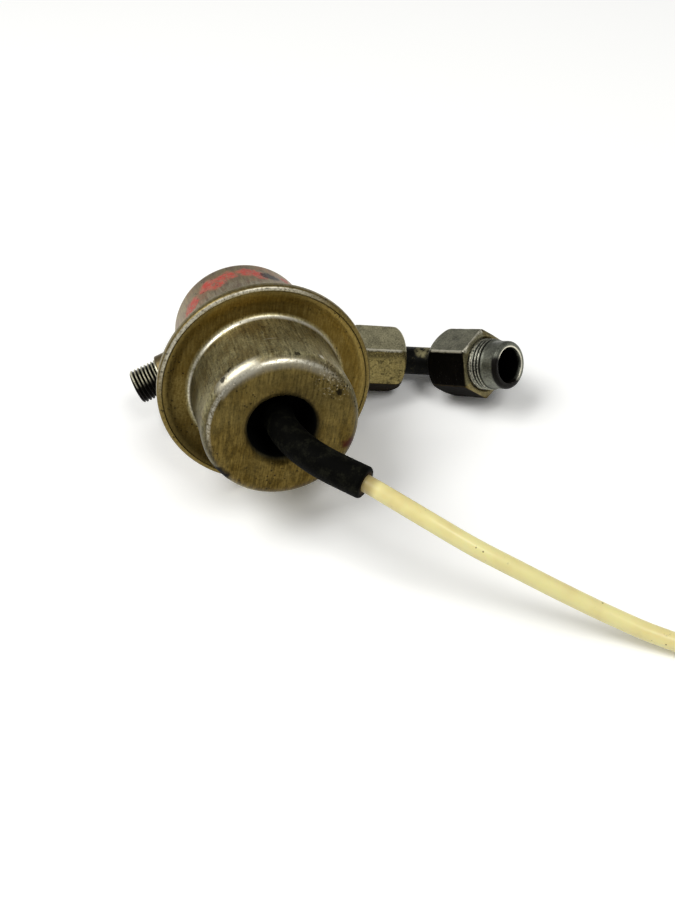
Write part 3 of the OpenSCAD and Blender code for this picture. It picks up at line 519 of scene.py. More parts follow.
def nut_zinc(name, colours, place, top, pale, front, pitted, pits):
    """Zinc on a nut: painted paler on its top flat as lit from above, pitted on its front one, and painted darker
    on the rest as shade and oil, with painted highlights on the top front corner and on the top flat's chamfer.
    """
    sizes = bpy.context.scene.regulator_unions
    reach = sizes.flats / math.sqrt(3) / MM
    dome = sizes.dome / MM
    end = sizes.nut / MM
    f = Finish(name)
    at, x, y, z, r = f.round_axes(place)
    patch = f.cloud(at, 0.25, 4.0, 0.6)
    grain = f.cloud(at, 2.0, 5.0, 0.7)
    to_top = towards(top, x, y, r)
    to_front = towards(front, x, y, r)
    on_top = to_top.above(*FLAT_EDGE)
    on_front = to_front.above(*FLAT_EDGE)
    # Painted light: the flat that faces up gets the paler colour.
    base = f.mixed(colours.brown, pale, on_top)
    base = f.mixed(base, pitted, on_front)
    base = f.mixed(base, colours.olive, z.above(end - 0.6, end - 0.2) * 0.5)
    base = f.scaled(base, ((patch - 0.5) * 1.6 + (grain - 0.5) * 2.4 + 1.0).most(0.25))
    holes = f.cloud(at, 0.8, 5.0, 0.75).above(0.49, 0.66)
    holes = holes.most(to_top.above(0.68, 0.78) * grain.above(0.44, 0.54)) * on_front * pits
    # Painted highlight along the corner between the top and front flats, and on the top flat's chamfer.
    corner = r.above(reach - 0.315, reach - 0.135) * z.between(dome - 1.0, end - 1.0, 0.4)
    corner = corner * (to_top + to_front).above(1.6, 1.7)
    chamfer = z.between(end - 0.75, end - 0.25, 0.15) * on_top * (1.0 - pits)
    speck = f.pits(at, 0.9, 0.26)
    rubbed = (corner * (0.4 + grain * 0.7)).most(chamfer * grain.above(0.35, 0.6))
    base = f.mixed(base, colours.bare, rubbed)
    # Painted shade and oil: the flats that face neither up nor front are darkened towards black.
    oil_and_shade = (1.0 - on_top.most(on_front)) * z.below(end - 0.9, end - 0.3)
    oil_and_shade = oil_and_shade * (1.35 - grain * 0.6) * (1.0 - pits * 0.12)
    base = f.mixed(base, colours.dirt, (holes * 0.72).most(speck * 0.5).most(oil_and_shade))
    relief = grain * 0.3 - holes * 0.7 - speck * 0.6
    rough = 0.36 + grain * 0.2 + oil_and_shade * 0.3
    return f.surface(base, rough, 0.95 - oil_and_shade * 0.85, relief, Specular_IOR_Level=0.05)


def worn_steel(name, colours, place, dull, shade_and_oil_side, crest, mouth, collar, thread_end, end, dark_from):
    """Plated steel of a threaded piece: near-black in its grooves, and in its bore as painted shade,
    with a pale ring round its mouth, and darker on one side past a given height: painted shade on
    a stub's lower front, and oil on the coupling."""
    crest, mouth, collar, thread_end, end, dark_from = (
        length / MM for length in (crest, mouth, collar, thread_end, end, dark_from))
    f = Finish(name)
    at, x, y, z, r = f.round_axes(place)
    grain = f.cloud(at, 2.2, 5.0, 0.65)
    patch = f.cloud(at, 0.45, 3.0)
    base = f.scaled(dull, ((patch - 0.5) * 1.6 + (grain - 0.5) * 2.2 + 1.0).most(0.3))
    ring = z.above(end - 0.25, end) * r.between(mouth - 0.05, mouth + 0.35, 0.12)
    rubbed = r.above(crest - 0.14, crest - 0.03) * grain.above(0.42, 0.58) * 0.6
    base = f.mixed(base, colours.bare, ring.most(rubbed))
    base = f.mixed(base, colours.brown, z.below(collar, collar + 0.3) * 0.9)
    groove = r.between(mouth + 0.5, crest - 0.26, 0.1) * z.below(thread_end - 0.2, thread_end + 0.1)
    speck = f.pits(at, 1.0, 0.26)
    # Painted shade: the bore is painted near-black.
    bore = r.below(mouth - 0.25, mouth - 0.05)
    base = f.mixed(base, colours.dirt, groove.most(bore).most(speck * 0.6))
    # Darker on one side: painted shade on a stub's lower front, and oil on the coupling's nose.
    side = (place.to_3x3().transposed() @ shade_and_oil_side).normalized()
    oil = towards(side, x, y, r).above(0.0, 0.4) * z.above(dark_from, dark_from + 0.8)
    oil = oil * (1.4 - grain * 0.7)
    base = f.mixed(base, colours.dirt, oil)
    relief = grain * 0.3 - speck * 0.5
    return f.surface(base, 0.3 + grain * 0.25, 0.95 - oil * 0.6, relief, 0.08 * MM, Specular_IOR_Level=0.1)


def blackened_steel(name, colours):
    """Pipe steel under old oil, with a little brown showing on top."""
    f = Finish(name)
    at = f.own_axes(BODY)
    grain = f.cloud(at, 0.8, 5.0, 0.65)
    shown = f.spot(f.shaken(at, 0.4, 3.0), BROWN_ON_PIPE, 3.6) * grain.above(0.38, 0.55)
    shown = shown.most(grain.above(0.55, 0.75) * 0.2)
    base = f.mixed(colours.soot, colours.olive, shown * 0.8)
    return f.surface(base, 0.4 + grain * 0.3, 0.9, grain, 0.12 * MM)


def clean_steel(name, colour, roughness):
    """Turned or rolled steel that lies sheltered inside."""
    f = Finish(name)
    at = f.own_axes(BODY)
    lines = f.cloud(f.stretched(at, (0.5, 0.5, 9.0)), 1.0, 3.0)
    stain = f.cloud(at, 0.3, 3.0)
    base = f.mixed(colour, [part * 0.55 for part in colour], stain.above(0.5, 0.75))
    return f.surface(base, roughness + lines * 0.15, 1.0, lines, 0.03 * MM)


def black_rubber(name, colours, colour, mouth=(0, 0, 0)):
    """Matte rubber with a faint bloom and scuffs, browned round the line at its mouth."""
    f = Finish(name)
    at = f.own_axes(BODY)
    bloom = f.cloud(at, 0.35, 4.0, 0.6)
    grain = f.cloud(at, 2.6, 4.0, 0.7)
    base = f.mixed(colour, colours.bloom, (bloom * 0.8 + grain * 0.5).above(0.62, 0.9) * 0.7)
    base = f.mixed(base, colours.browned, f.spot(at, mouth, 3.3) * 0.8)
    relief = grain * 0.6 + bloom * 0.4
    return f.surface(base, 0.5 + grain * 0.25, 0.0, relief, 0.12 * MM, Specular_IOR_Level=0.02)


def aged_nylon(name, colours, mouth):
    """Cream nylon that lets some light through, with flecks of dirt, and darker and browner at the sleeve's mouth.
    """
    f = Finish(name)
    at = f.own_axes(Matrix())
    tone = f.cloud(at, 0.09, 3.0)
    fleck = f.pits(at, 0.5, 0.14)
    smear = f.cloud(f.stretched(at, (0.35, 0.5, 0.5)), 1.0, 4.0, 0.7).above(0.64, 0.74)
    base = f.mixed(colours.nylon, colours.amber, tone.above(0.4, 0.75) * 0.4)
    base = f.mixed(base, colours.mouth_darkening, f.spot(at, mouth, 4.6) * 0.75)
    base = f.mixed(base, colours.fleck, (fleck * 0.8).most(smear * 0.4))
    return f.surface(base, 0.28 + tone * 0.1, 0.0, tone, 0.02 * MM, Subsurface_Weight=0.25,
                     Subsurface_Radius=(1.0, 0.75, 0.3), Subsurface_Scale=1.0 * MM)


# How finely shapes are divided, and the angles past which their edges stay sharp
ROUNDING_STEP = 0.22 * MM
BEND_STEP = 0.5 * MM
HOSE_END_STEPS = 6
SAME_POINT = 0.001 * MM
CREASE = math.radians(60)
TUBE_CREASE = math.radians(50)

# Form of a thread's groove and of the unevenness of drawn and knocked metal
GROOVE_SLOPE = 1.55
CREST_WIDTH = 0.2
FADE_IN = 0.5
FADE_OUT = 0.9
SHEET_WAVES = 2.2
SHEET_DETAIL = 54
KNOCK_DEPTH = 0.12 * MM
KNOCKS_ROUND = 5
KNOCKS_ALONG = 700

TUBE_TREE = "tube_along_path"


def rounded(corners):
    """Points of a closed outline; each corner is (radius, height, rounding)."""
    points = []
    for k, (radius, height, rounding) in enumerate(corners):
        here = Vector((radius, height))
        if rounding <= 0:
            points.append(here)
            continue
        back = (Vector(corners[k - 1][:2]) - here).normalized()
        ahead = (Vector(corners[(k + 1) % len(corners)][:2]) - here).normalized()
        half = back.angle(ahead) / 2
        centre = here + (back + ahead).normalized() * rounding / math.sin(half)
        start = here + back * rounding / math.tan(half) - centre
        sweep = math.pi - 2 * half
        side = 1 if back.x * ahead.y - back.y * ahead.x < 0 else -1
        steps = max(3, math.ceil(sweep * rounding / ROUNDING_STEP))
        for i in range(steps + 1):
            points.append(centre + Matrix.Rotation(side * sweep * i / steps, 2) @ start)
    return points


def spaced(points, gap):
    """The same closed outline, with points added on its long straights."""
    filled = []
    for here, there in zip(points, points[1:] + points[:1]):
        pieces = max(1, math.ceil((there - here).length / gap))
        filled += [here.lerp(there, i / pieces) for i in range(pieces)]
    return filled


def finished(piece, node):
    """Sets a piece on the housing and hides the CAD node that it stands in for."""
    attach(piece, "housing")
    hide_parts(node)
    return piece


def coat(material, *names):
    """Gives CAD nodes that stay as they are a finish."""
    for name in names:
        mesh = frame["nodes"][name].data
        mesh.materials.clear()
        mesh.materials.append(material)


def new_piece(name, solid, material, node, place, crease=None):
    """A finished piece from a solid's vertices and faces, with its place in its mesh."""
    vertices, faces = solid
    mesh = bpy.data.meshes.new(name)
    mesh.from_pydata([place @ Vector(vertex) for vertex in vertices], [], faces)
    mesh.polygons.foreach_set("use_smooth", [True] * len(mesh.polygons))
    if crease is not None:
        mesh.set_sharp_from_angle(angle=crease)
    mesh.materials.append(material)
    piece = bpy.data.objects.new(name, mesh)
    bpy.context.scene.collection.objects.link(piece)
    return finished(piece, node)


def turned(outline, segments, shape):
    """Vertices and faces of a closed outline of (radius, height) turned about z; shape moves a point."""
    area = sum(a.x * b.y - b.x * a.y for a, b in zip(outline, outline[1:] + outline[:1]))
    if area < 0:
        outline = outline[::-1]
    vertices = []
    rings = []
    for radius, height in outline:
        count = 1 if radius < SAME_POINT else segments
        rings.append(range(len(vertices), len(vertices) + count))
        for i in range(count):
            angle = 2 * math.pi * i / segments
            reach, level = shape(angle, radius, height)
            vertices.append((reach * math.cos(angle), reach * math.sin(angle), level))
    faces = []
    for low, high in zip(rings, rings[1:] + rings[:1]):
        if len(low) == len(high) == 1:
            continue
        for i in range(segments):
            j = (i + 1) % segments
            corners = (low[i % len(low)], low[j % len(low)], high[j % len(high)], high[i % len(high)])
            faces.append(tuple(dict.fromkeys(corners)))
    return vertices, faces


def uneven(amount, seed):
    """A shape for drawn sheet that isn't quite round."""
    def moved(angle, radius, height):
        around = Vector((math.cos(angle) * SHEET_WAVES, math.sin(angle) * SHEET_WAVES, seed))
        along = Vector((radius, height, 0)) * SHEET_DETAIL
        return (radius + amount * noise.noise(around + along),
                height + amount * noise.noise(around - along))
    return moved


def soft_least(a, b, width):
    """The smaller of two lengths, rounded where they cross."""
    share = max(width - abs(a - b), 0) / width
    return min(a, b) - share * share * width / 4


def thread(crest, depth, pitch, first, last):
    """A shape that cuts a screw thread between two heights of a turned piece."""
    def moved(angle, radius, height):
        if radius < crest - depth or not first < height < last:
            return radius, height
        phase = (height / pitch - angle / (2 * math.pi)) % 1
        groove = min(1, max(0, GROOVE_SLOPE * (1 - abs(2 * phase - 1)) - CREST_WIDTH))
        fade = min(1, (height - first) / (FADE_IN * pitch), (last - height) / (FADE_OUT * pitch))
        return radius - depth * groove * fade, height
    return moved


def hexagon(flats, softness, seed):
    """A shape that takes a turned piece down to a nut's flats, with softened and knocked corners."""
    def moved(angle, radius, height):
        flat = flats / 2
        beside = angle % (math.pi / 3)
        here = flat / math.cos(beside - math.pi / 6)
        nearest = min(beside, math.pi / 3 - beside)
        over = flat / math.cos(min(nearest + math.pi / 6, math.pi / 2.2))
        side = soft_least(here, over, softness)
        around = Vector((math.cos(angle), math.sin(angle), 0)) * KNOCKS_ROUND
        knock = noise.noise(around + Vector((0, 0, height * KNOCKS_ALONG + seed)))
        return soft_least(radius, side + min(0, knock) * KNOCK_DEPTH, softness), height
    return moved


def screw_outline(corners, first, last, gap):
    """A rounded outline, finely divided between two heights so that a thread can be cut there."""
    points = []
    outline = rounded(corners)
    for here, there in zip(outline, outline[1:] + outline[:1]):
        threaded = min(here.y, there.y) >= first - gap and max(here.y, there.y) <= last + gap
        pieces = max(1, math.ceil((there - here).length / (gap if threaded else MM)))
        points += [here.lerp(there, i / pieces) for i in range(pieces)]
    return points


def bent_path(start, corner, end, radius):
    """Straight, round bend and straight, as points from start to end."""
    back = (start - corner).normalized()
    ahead = (end - corner).normalized()
    half = back.angle(ahead) / 2
    reach = radius / math.tan(half)
    centre = corner + (back + ahead).normalized() * radius / math.sin(half)
    spoke = corner + back * reach - centre
    turn = back.cross(ahead).normalized()
    sweep = math.pi - 2 * half
    steps = math.ceil(sweep * radius / BEND_STEP)
    bend = [centre + Matrix.Rotation(-sweep * i / steps, 3, turn) @ spoke for i in range(steps + 1)]
    return straight(start, bend[0], BEND_STEP) + bend + straight(bend[-1], end, BEND_STEP)[1:] + [end]


def straight(start, end, step):
    pieces = max(1, math.ceil((end - start).length / step))
    return [start.lerp(end, i / pieces) for i in range(pieces)]


def flowing(points, pieces):
    """A smooth curve through points, with so many pieces between each two."""
    ends = [2 * points[0] - points[1], *points, 2 * points[-1] - points[-2]]
    curve = []
    for a, b, c, d in zip(ends, ends[1:], ends[2:], ends[3:]):
        for i in range(pieces):
            t = i / pieces
            curve.append(0.5 * (2 * b + (c - a) * t + (2 * a - 5 * b + 4 * c - d) * t * t
                                + (3 * b - a - 3 * c + d) * t ** 3))
    return curve + [points[-1]]


def lengths_along(path):
    total = [0.0]
    for here, there in zip(path, path[1:]):
        total.append(total[-1] + (there - here).length)
    return total


def tube_tree():
    """Geometry nodes that sweep a round section, as wide as each point's girth, along a path."""
    tree = bpy.data.node_groups.new(TUBE_TREE, "GeometryNodeTree")
    tree.interface.new_socket("Path", in_out="INPUT", socket_type="NodeSocketGeometry")
    tree.interface.new_socket("Sides", in_out="INPUT", socket_type="NodeSocketInt")
    tree.interface.new_socket("Skin", in_out="INPUT", socket_type="NodeSocketMaterial")
    tree.interface.new_socket("Tube", in_out="OUTPUT", socket_type="NodeSocketGeometry")

    def add(kind, **inputs):
        node = tree.nodes.new("GeometryNode" + kind if kind[:4] != "Node" else kind)
        for key, value in inputs.items():
            socket = node.inputs[key.replace("_", " ")]
            if isinstance(value, bpy.types.NodeSocket):
                tree.links.new(value, socket)
            else:
                socket.default_value = value
        return node

    given = add("NodeGroupInput")
    line = add("MeshToCurve", Mesh=given.outputs["Path"])
    section = add("CurvePrimitiveCircle", Resolution=given.outputs["Sides"], Radius=1.0)
    girth = add("InputNamedAttribute", Name="girth")
    swept = add("CurveToMesh", Curve=line.outputs[0], Profile_Curve=section.outputs[0],
                Scale=girth.outputs[0], Fill_Caps=True)
    smooth = add("SetShadeSmooth", Geometry=swept.outputs[0])
    real = add("RealizeInstances", Geometry=smooth.outputs[0])
    painted = add("SetMaterial", Geometry=real.outputs[0], Material=given.outputs["Skin"])
    result = add("NodeGroupOutput")
    tree.links.new(painted.outputs[0], result.inputs["Tube"])
    return tree


def tube(name, path, girths, sides, material, node):
    """A tube swept along a path by geometry nodes, turned into a plain mesh."""
    mesh = bpy.data.meshes.new(name + "_path")
    mesh.from_pydata(path, [(i, i + 1) for i in range(len(path) - 1)], [])
    mesh.attributes.new("girth", "FLOAT", "POINT").data.foreach_set("value", girths)
    piece = bpy.data.objects.new(name, mesh)
    bpy.context.scene.collection.objects.link(piece)
    tree = bpy.data.node_groups.get(TUBE_TREE) or tube_tree()
    sockets = {item.name: item.identifier for item in tree.interface.items_tree}
    sweep = piece.modifiers.new("sweep", "NODES")
    sweep.node_group = tree
    sweep[sockets["Sides"]] = sides
    sweep[sockets["Skin"]] = material
    swept = piece.evaluated_get(bpy.context.evaluated_depsgraph_get())
    solid = bpy.data.meshes.new_from_object(swept)
    piece.modifiers.remove(sweep)
    piece.data = solid
    shape = bmesh.new()
    shape.from_mesh(solid)
    bmesh.ops.remove_doubles(shape, verts=shape.verts, dist=SAME_POINT)
    bmesh.ops.recalc_face_normals(shape, faces=shape.faces)
    shape.to_mesh(solid)
    shape.free()
    solid.set_sharp_from_angle(angle=TUBE_CREASE)
    return finished(piece, node)


def hose_girths(path, radius, rounding):
    """Radius at each point of a hose whose two ends are rounded off."""
    along = lengths_along(path)
    girths = []
    for where in along:
        inset = max(0.0, rounding - min(where, along[-1] - where))
        girths.append(radius - rounding + math.sqrt(max(rounding ** 2 - inset ** 2, 0)))
    return girths


def hose_ends(path, rounding):
    """A path with points added close to its ends, where the hose is rounded."""
    first = (path[1] - path[0]).normalized()
    last = (path[-1] - path[-2]).normalized()
    clear = rounding * 1.1
    middle = [point for point in path[1:-1]
              if (point - path[0]).length > clear and (point - path[-1]).length > clear]
    quarter = [math.pi / 2 * i / HOSE_END_STEPS for i in range(HOSE_END_STEPS + 1)]
    insets = [rounding * (1 - math.cos(angle)) for angle in quarter]
    start = [path[0] + first * inset for inset in insets]
    end = [path[-1] - last * inset for inset in reversed(insets)]
    return start + middle + end


class REGULATOR_OT_stage(bpy.types.Operator):
    """Lays the floor, lights it softly and sets up the camera"""

    bl_idname = "regulator.stage"
    bl_label = "Stage"

    eye = Vector((-0.030927, -0.190726, 0.194865))
    view = Vector((0.107, 0.6723, -0.7325))
    right = Vector((0.9513, -0.2833, -0.1211))
    nearest = 0.01
    floor_reach = 3.0
    large_lamp_at = Vector((-0.55, 0.12, 1.05))
    large_lamp_side = 0.7
    small_lamp_at = Vector((0.24, -0.46, 0.8))
    small_lamp_side = 0.3

    def execute(self, context):
        look = context.scene.regulator_stage
        self.set_camera(context, look)
        self.lay_floor(context, look)
        self.light(context, look)
        return {"FINISHED"}

    def set_camera(self, context, look):
        camera = bpy.data.cameras.new("camera")
        camera.lens = look.lens
        camera.clip_start = self.nearest
        holder = bpy.data.objects.new("camera", camera)
        holder.matrix_world = placed(self.eye, -self.view, self.right)
        context.scene.collection.objects.link(holder)
        context.scene.camera = holder
        context.scene.view_settings.view_transform = "Standard"

    def lay_floor(self, context, look):
        reach = self.floor_reach
        corners = [(-reach, -reach, 0), (reach, -reach, 0), (reach, reach, 0), (-reach, reach, 0)]
        mesh = bpy.data.meshes.new("floor")
        mesh.from_pydata(corners, [], [(0, 1, 2, 3)])
        f = Finish("pale_floor")
        path = f.node("ShaderNodeLightPath").socket.node.outputs
        seen = Wire(f, path["Is Camera Ray"]).most(Wire(f, path["Is Glossy Ray"]))
        seen = seen.most(Wire(f, path["Is Transmission Ray"]))
        shown = f.mixed(look.floor, [part * look.shown for part in look.floor], seen)
        shader = f.node("ShaderNodeBsdfDiffuse", inputs={"Color": shown})
        f.node("ShaderNodeOutputMaterial", inputs={"Surface": shader})
        mesh.materials.append(f.material)
        floor = bpy.data.objects.new("floor", mesh)
        context.scene.collection.objects.link(floor)

    def light(self, context, look):
        world = bpy.data.worlds.new("studio")
        world.use_nodes = True
        sky = world.node_tree.nodes["Background"]
        sky.inputs["Color"].default_value = (1.0, 1.0, 1.0, 1.0)
        sky.inputs["Strength"].default_value = look.sky
        context.scene.world = world
        self.hang_lamp(context, "large_lamp", self.large_lamp_at, self.large_lamp_side, look.large_lamp)
        self.hang_lamp(context, "small_lamp", self.small_lamp_at, self.small_lamp_side, look.small_lamp)

    def hang_lamp(self, context, name, place, side, power):
        lamp = bpy.data.lights.new(name, "AREA")
        lamp.shape = "SQUARE"
        lamp.size = side
        lamp.energy = power
        holder = bpy.data.objects.new(name, lamp)
        aim = (RIM_CENTRE - place).to_track_quat("-Z", "Y")
        holder.matrix_world = Matrix.Translation(place) @ aim.to_matrix().to_4x4()
        context.scene.collection.objects.link(holder)


class REGULATOR_OT_vacuum_line(bpy.types.Operator):
    """Makes the nylon line, the rubber sleeve that it leaves the well by, and its connector"""

    bl_idname = "regulator.vacuum_line"
    bl_label = "Vacuum line"

    sleeve_straight = 9.7 * MM
    sleeve_bend = 30 * MM
    sleeve_angle = math.radians(46)
    sleeve_end = 7.5 * MM
    sleeve_turn = math.radians(-3)
    end_rounding = 0.7 * MM
    hose_sides = 40
    line_sides = 28
    line_steps = 8

    def execute(self, context):
        sizes = context.scene.regulator_line
        colours = context.scene.regulator_finish
        sleeve_path = self.sleeve_path(sizes)
        mouth = sleeve_path[-1]
        rubber = black_rubber("black_rubber", colours, colours.rubber, BODY.inverted() @ mouth / MM)
        sleeve = self.hose("sleeve", sleeve_path, sizes, rubber, "rubber_sleeve")
        route = [Vector(point) * MM for point in LINE_ROUTE]
        path = flowing(route, self.line_steps)
        nylon = aged_nylon("aged_nylon", colours, mouth / MM)
        line = tube("nylon_line", path, [sizes.line / 2] * len(path), self.line_sides, nylon,
                    "vacuum_line")
        heading = (route[-1] - route[-2]).normalized()
        start = route[-1] - heading * sizes.grip
        ends = straight(start, start + heading * sizes.connector, MM)
        connector = self.hose("connector", ends, sizes, rubber, "line_connector")
        lengths_along(path)[-1]
        return {"FINISHED"}

    def sleeve_path(self, sizes):
        reach = self.sleeve_bend * math.tan(self.sleeve_angle / 2)
        corner = Vector((0, 0, sizes.foot + self.sleeve_straight + reach))
        lean = Vector((math.sin(self.sleeve_angle), 0, math.cos(self.sleeve_angle)))
        lean = Matrix.Rotation(self.sleeve_turn, 3, "Z") @ lean
        end = corner + lean * (reach + self.sleeve_end)
        places = bent_path(Vector((0, 0, sizes.foot)), corner, end, self.sleeve_bend)
        return [BODY @ point for point in places]

    def hose(self, name, path, sizes, material, node):
        ends = hose_ends(path, self.end_rounding)
        girths = hose_girths(ends, sizes.sleeve / 2, self.end_rounding)
        return tube(name, ends, girths, self.hose_sides, material, node)


class REGULATOR_OT_shells(bpy.types.Operator):
    """Draws the front and the rear shell with their true rounded section"""

    bl_idname = "regulator.shells"
    bl_label = "Shells"

    segments = 256
    gap = 1.0 * MM
    lip = 0.8 * MM
    lip_width = 1.25 * MM
    lip_edge = 0.2 * MM
    roll = 1.43 * MM
    wall_of_roll = 0.6 * MM
    clamp = 3.4 * MM
    dish_top = -0.4 * MM
    dish_depth = 0.5 * MM
    dish_steps = 10
    shoulder_top = -0.1 * MM
    shoulder = 26.7 * MM
    shoulder_edge = 0.9 * MM
    shoulder_corner = 0.15 * MM
    well_lip = 2.0 * MM
    well_corner = 1.5 * MM
    nipple_hole = 2.12 * MM
    front_seed = 3.0
    rear_seed = 8.0

    def execute(self, context):
        sizes = context.scene.regulator_shells
        colours = context.scene.regulator_finish
        self.shell("front_shell", self.front_section(sizes), uneven(sizes.dent, self.front_seed),
                   front_zinc("front_zinc", colours), "zinc_yellow", "spring_housing")
        self.shell("rear_shell", self.rear_section(sizes), uneven(sizes.dent, self.rear_seed),
                   rear_steel("rear_steel", colours), "painted_shell", "fuel_housing")
        return {"FINISHED"}

    def shell(self, name, section, shape, material, slot, node):
        outline = spaced(rounded(section), self.gap)
        new_piece(name, turned(outline, self.segments, shape), material, node, BODY, CREASE)

    def dish(self, start, drop):
        """The shallow hollow between the root of the cup and the rim."""
        end = self.shoulder - self.shoulder_edge
        rise = self.shoulder_top - self.dish_top
        points = []
        for step in range(1, self.dish_steps + 1):
            share = step / self.dish_steps
            sag = self.dish_depth * math.sin(math.pi * share)
            points.append((start + (end - start) * share, self.dish_top + rise * share - sag - drop, 0))
        return points

    def front_section(self, sizes):
        cup = sizes.cup / 2
        well = sizes.well / 2
        sheet = sizes.sheet
        floor = sizes.front - sizes.well_depth
        flange = -self.lip - sheet
        clamped = sizes.rim / 2 - self.wall_of_roll
        outside = [
            (self.nipple_hole, floor, 0),
            (well, floor, self.well_corner),
            (well, sizes.front, self.well_lip),
            (cup, sizes.front, sizes.edge),
            (cup, self.dish_top, sizes.root),
            *self.dish(cup + sizes.root, 0),
            (self.shoulder, self.shoulder_top, self.shoulder_corner),
            (self.shoulder, -self.lip, 0),
            (clamped, -self.lip, 0),
            (clamped, flange, 0),
        ]
        inside = [
            (self.nipple_hole, floor - sheet, 0),
            (well + sheet, floor - sheet, self.well_corner + sheet),
            (well + sheet, sizes.front - sheet, self.well_lip - sheet),
            (cup - sheet, sizes.front - sheet, sizes.edge - sheet),
            (cup - sheet, self.dish_top - sheet, sizes.root + sheet),
            *self.dish(cup + sizes.root, sheet),
        ]
        return outside + inside[::-1]

    def rear_section(self, sizes):
        cup = sizes.cup / 2
        rim = sizes.rim / 2
        sheet = sizes.sheet
        inner = cup - sheet
        return [
            (0, -sizes.rear, 0),
            (cup, -sizes.rear, sizes.edge),
            (cup, -self.clamp, sizes.root),
            (rim, -self.clamp, self.roll),
            (rim, 0, self.lip),
            (rim - self.lip_width, 0, self.lip_edge),
            (rim - self.lip_width, -self.lip, 0),
            (rim - self.wall_of_roll, -self.lip, 0),
            (rim - self.wall_of_roll, -self.clamp + sheet, 0),
            (inner, -self.clamp + sheet, sizes.root + sheet),
            (inner, -sizes.rear + sheet, sizes.edge - sheet),
            (0, -sizes.rear + sheet, 0),
        ]


class REGULATOR_OT_stubs(bpy.types.Operator):
    """Turns the two threaded stubs on the rear shell"""

    bl_idname = "regulator.stubs"
    bl_label = "Stubs"

    segments = 128
    wall = 18.6 * MM
    run_in = 0.4 * MM
    return_collar = 5.8 * MM
    return_shoulder = 26.2 * MM
    return_shoulder_edge = 0.4 * MM
    return_mouth = 34.4 * MM
    return_bore = 2.2 * MM
    return_groove = 0.6 * MM
    return_step = 0.09 * MM
    return_run_out = 0.2 * MM
    tip_width = 0.5 * MM
    tip_length = 0.3 * MM
    flare = 3.3 * MM
    flare_edge = 0.1 * MM
    flare_depth = 1.6 * MM
    supply_collar = 8.5 * MM
    supply_shoulder = 24.5 * MM
    supply_shoulder_edge = 0.5 * MM
    supply_mouth = 36.65 * MM
    supply_bore = 3.0 * MM
    supply_groove = 0.8 * MM
    supply_step = 0.14 * MM
    supply_ring = 5.0 * MM
    supply_chamfer = 0.8 * MM

    def execute(self, context):
        sizes = context.scene.regulator_unions
        colours = context.scene.regulator_finish
        self.return_stub(sizes, colours)
        self.supply_stub(sizes, colours)
        return {"FINISHED"}

    def return_stub(self, sizes, colours):
        crest = sizes.return_thread / 2
        first = self.return_shoulder
        last = self.return_mouth
        corners = [
            (self.return_bore, self.wall, 0),
            (self.return_collar, self.wall, 0),
            (self.return_collar, first, self.return_shoulder_edge),
            (crest, first, 0),
            (crest, last - self.tip_length, 0),
            (crest - self.tip_width, last, 0),
            (self.flare, last, self.flare_edge),
            (self.return_bore, last - self.flare_depth, 0),
        ]
        outline = screw_outline(corners, first, last, self.return_step)
        cut = thread(crest, self.return_groove, sizes.return_pitch, first + self.run_in,
                     last + self.return_run_out)
        steel = worn_steel("return_steel", colours, RETURN, colours.return_stub, AXIS - UP, crest=crest,
                           mouth=self.flare, collar=first, thread_end=last, end=last, dark_from=first)
        new_piece("return_stub_turned", turned(outline, self.segments, cut), steel,
                  "return_stub", RETURN, CREASE)

    def supply_stub(self, sizes, colours):
        crest = sizes.thread / 2
        first = self.supply_shoulder
        last = self.supply_mouth
        corners = [
            (self.supply_bore, self.wall, 0),
            (self.supply_collar, self.wall, 0),
            (self.supply_collar, first, self.supply_shoulder_edge),
            (crest, first, 0),
            (crest, last - self.supply_chamfer, 0),
            (crest - self.supply_chamfer, last, 0),
            (self.supply_bore, last, 0),
        ]
        outline = screw_outline(corners, first, last, self.supply_step)
        cut = thread(crest, self.supply_groove, sizes.pitch, first + self.run_in, last)
        steel = worn_steel("supply_steel", colours, SUPPLY, colours.supply_stub, AXIS - UP, crest=crest,
                           mouth=self.supply_ring, collar=first, thread_end=last, end=last, dark_from=first)
        new_piece("supply_stub_turned", turned(outline, self.segments, cut), steel,
                  "supply_stub", SUPPLY, CREASE)


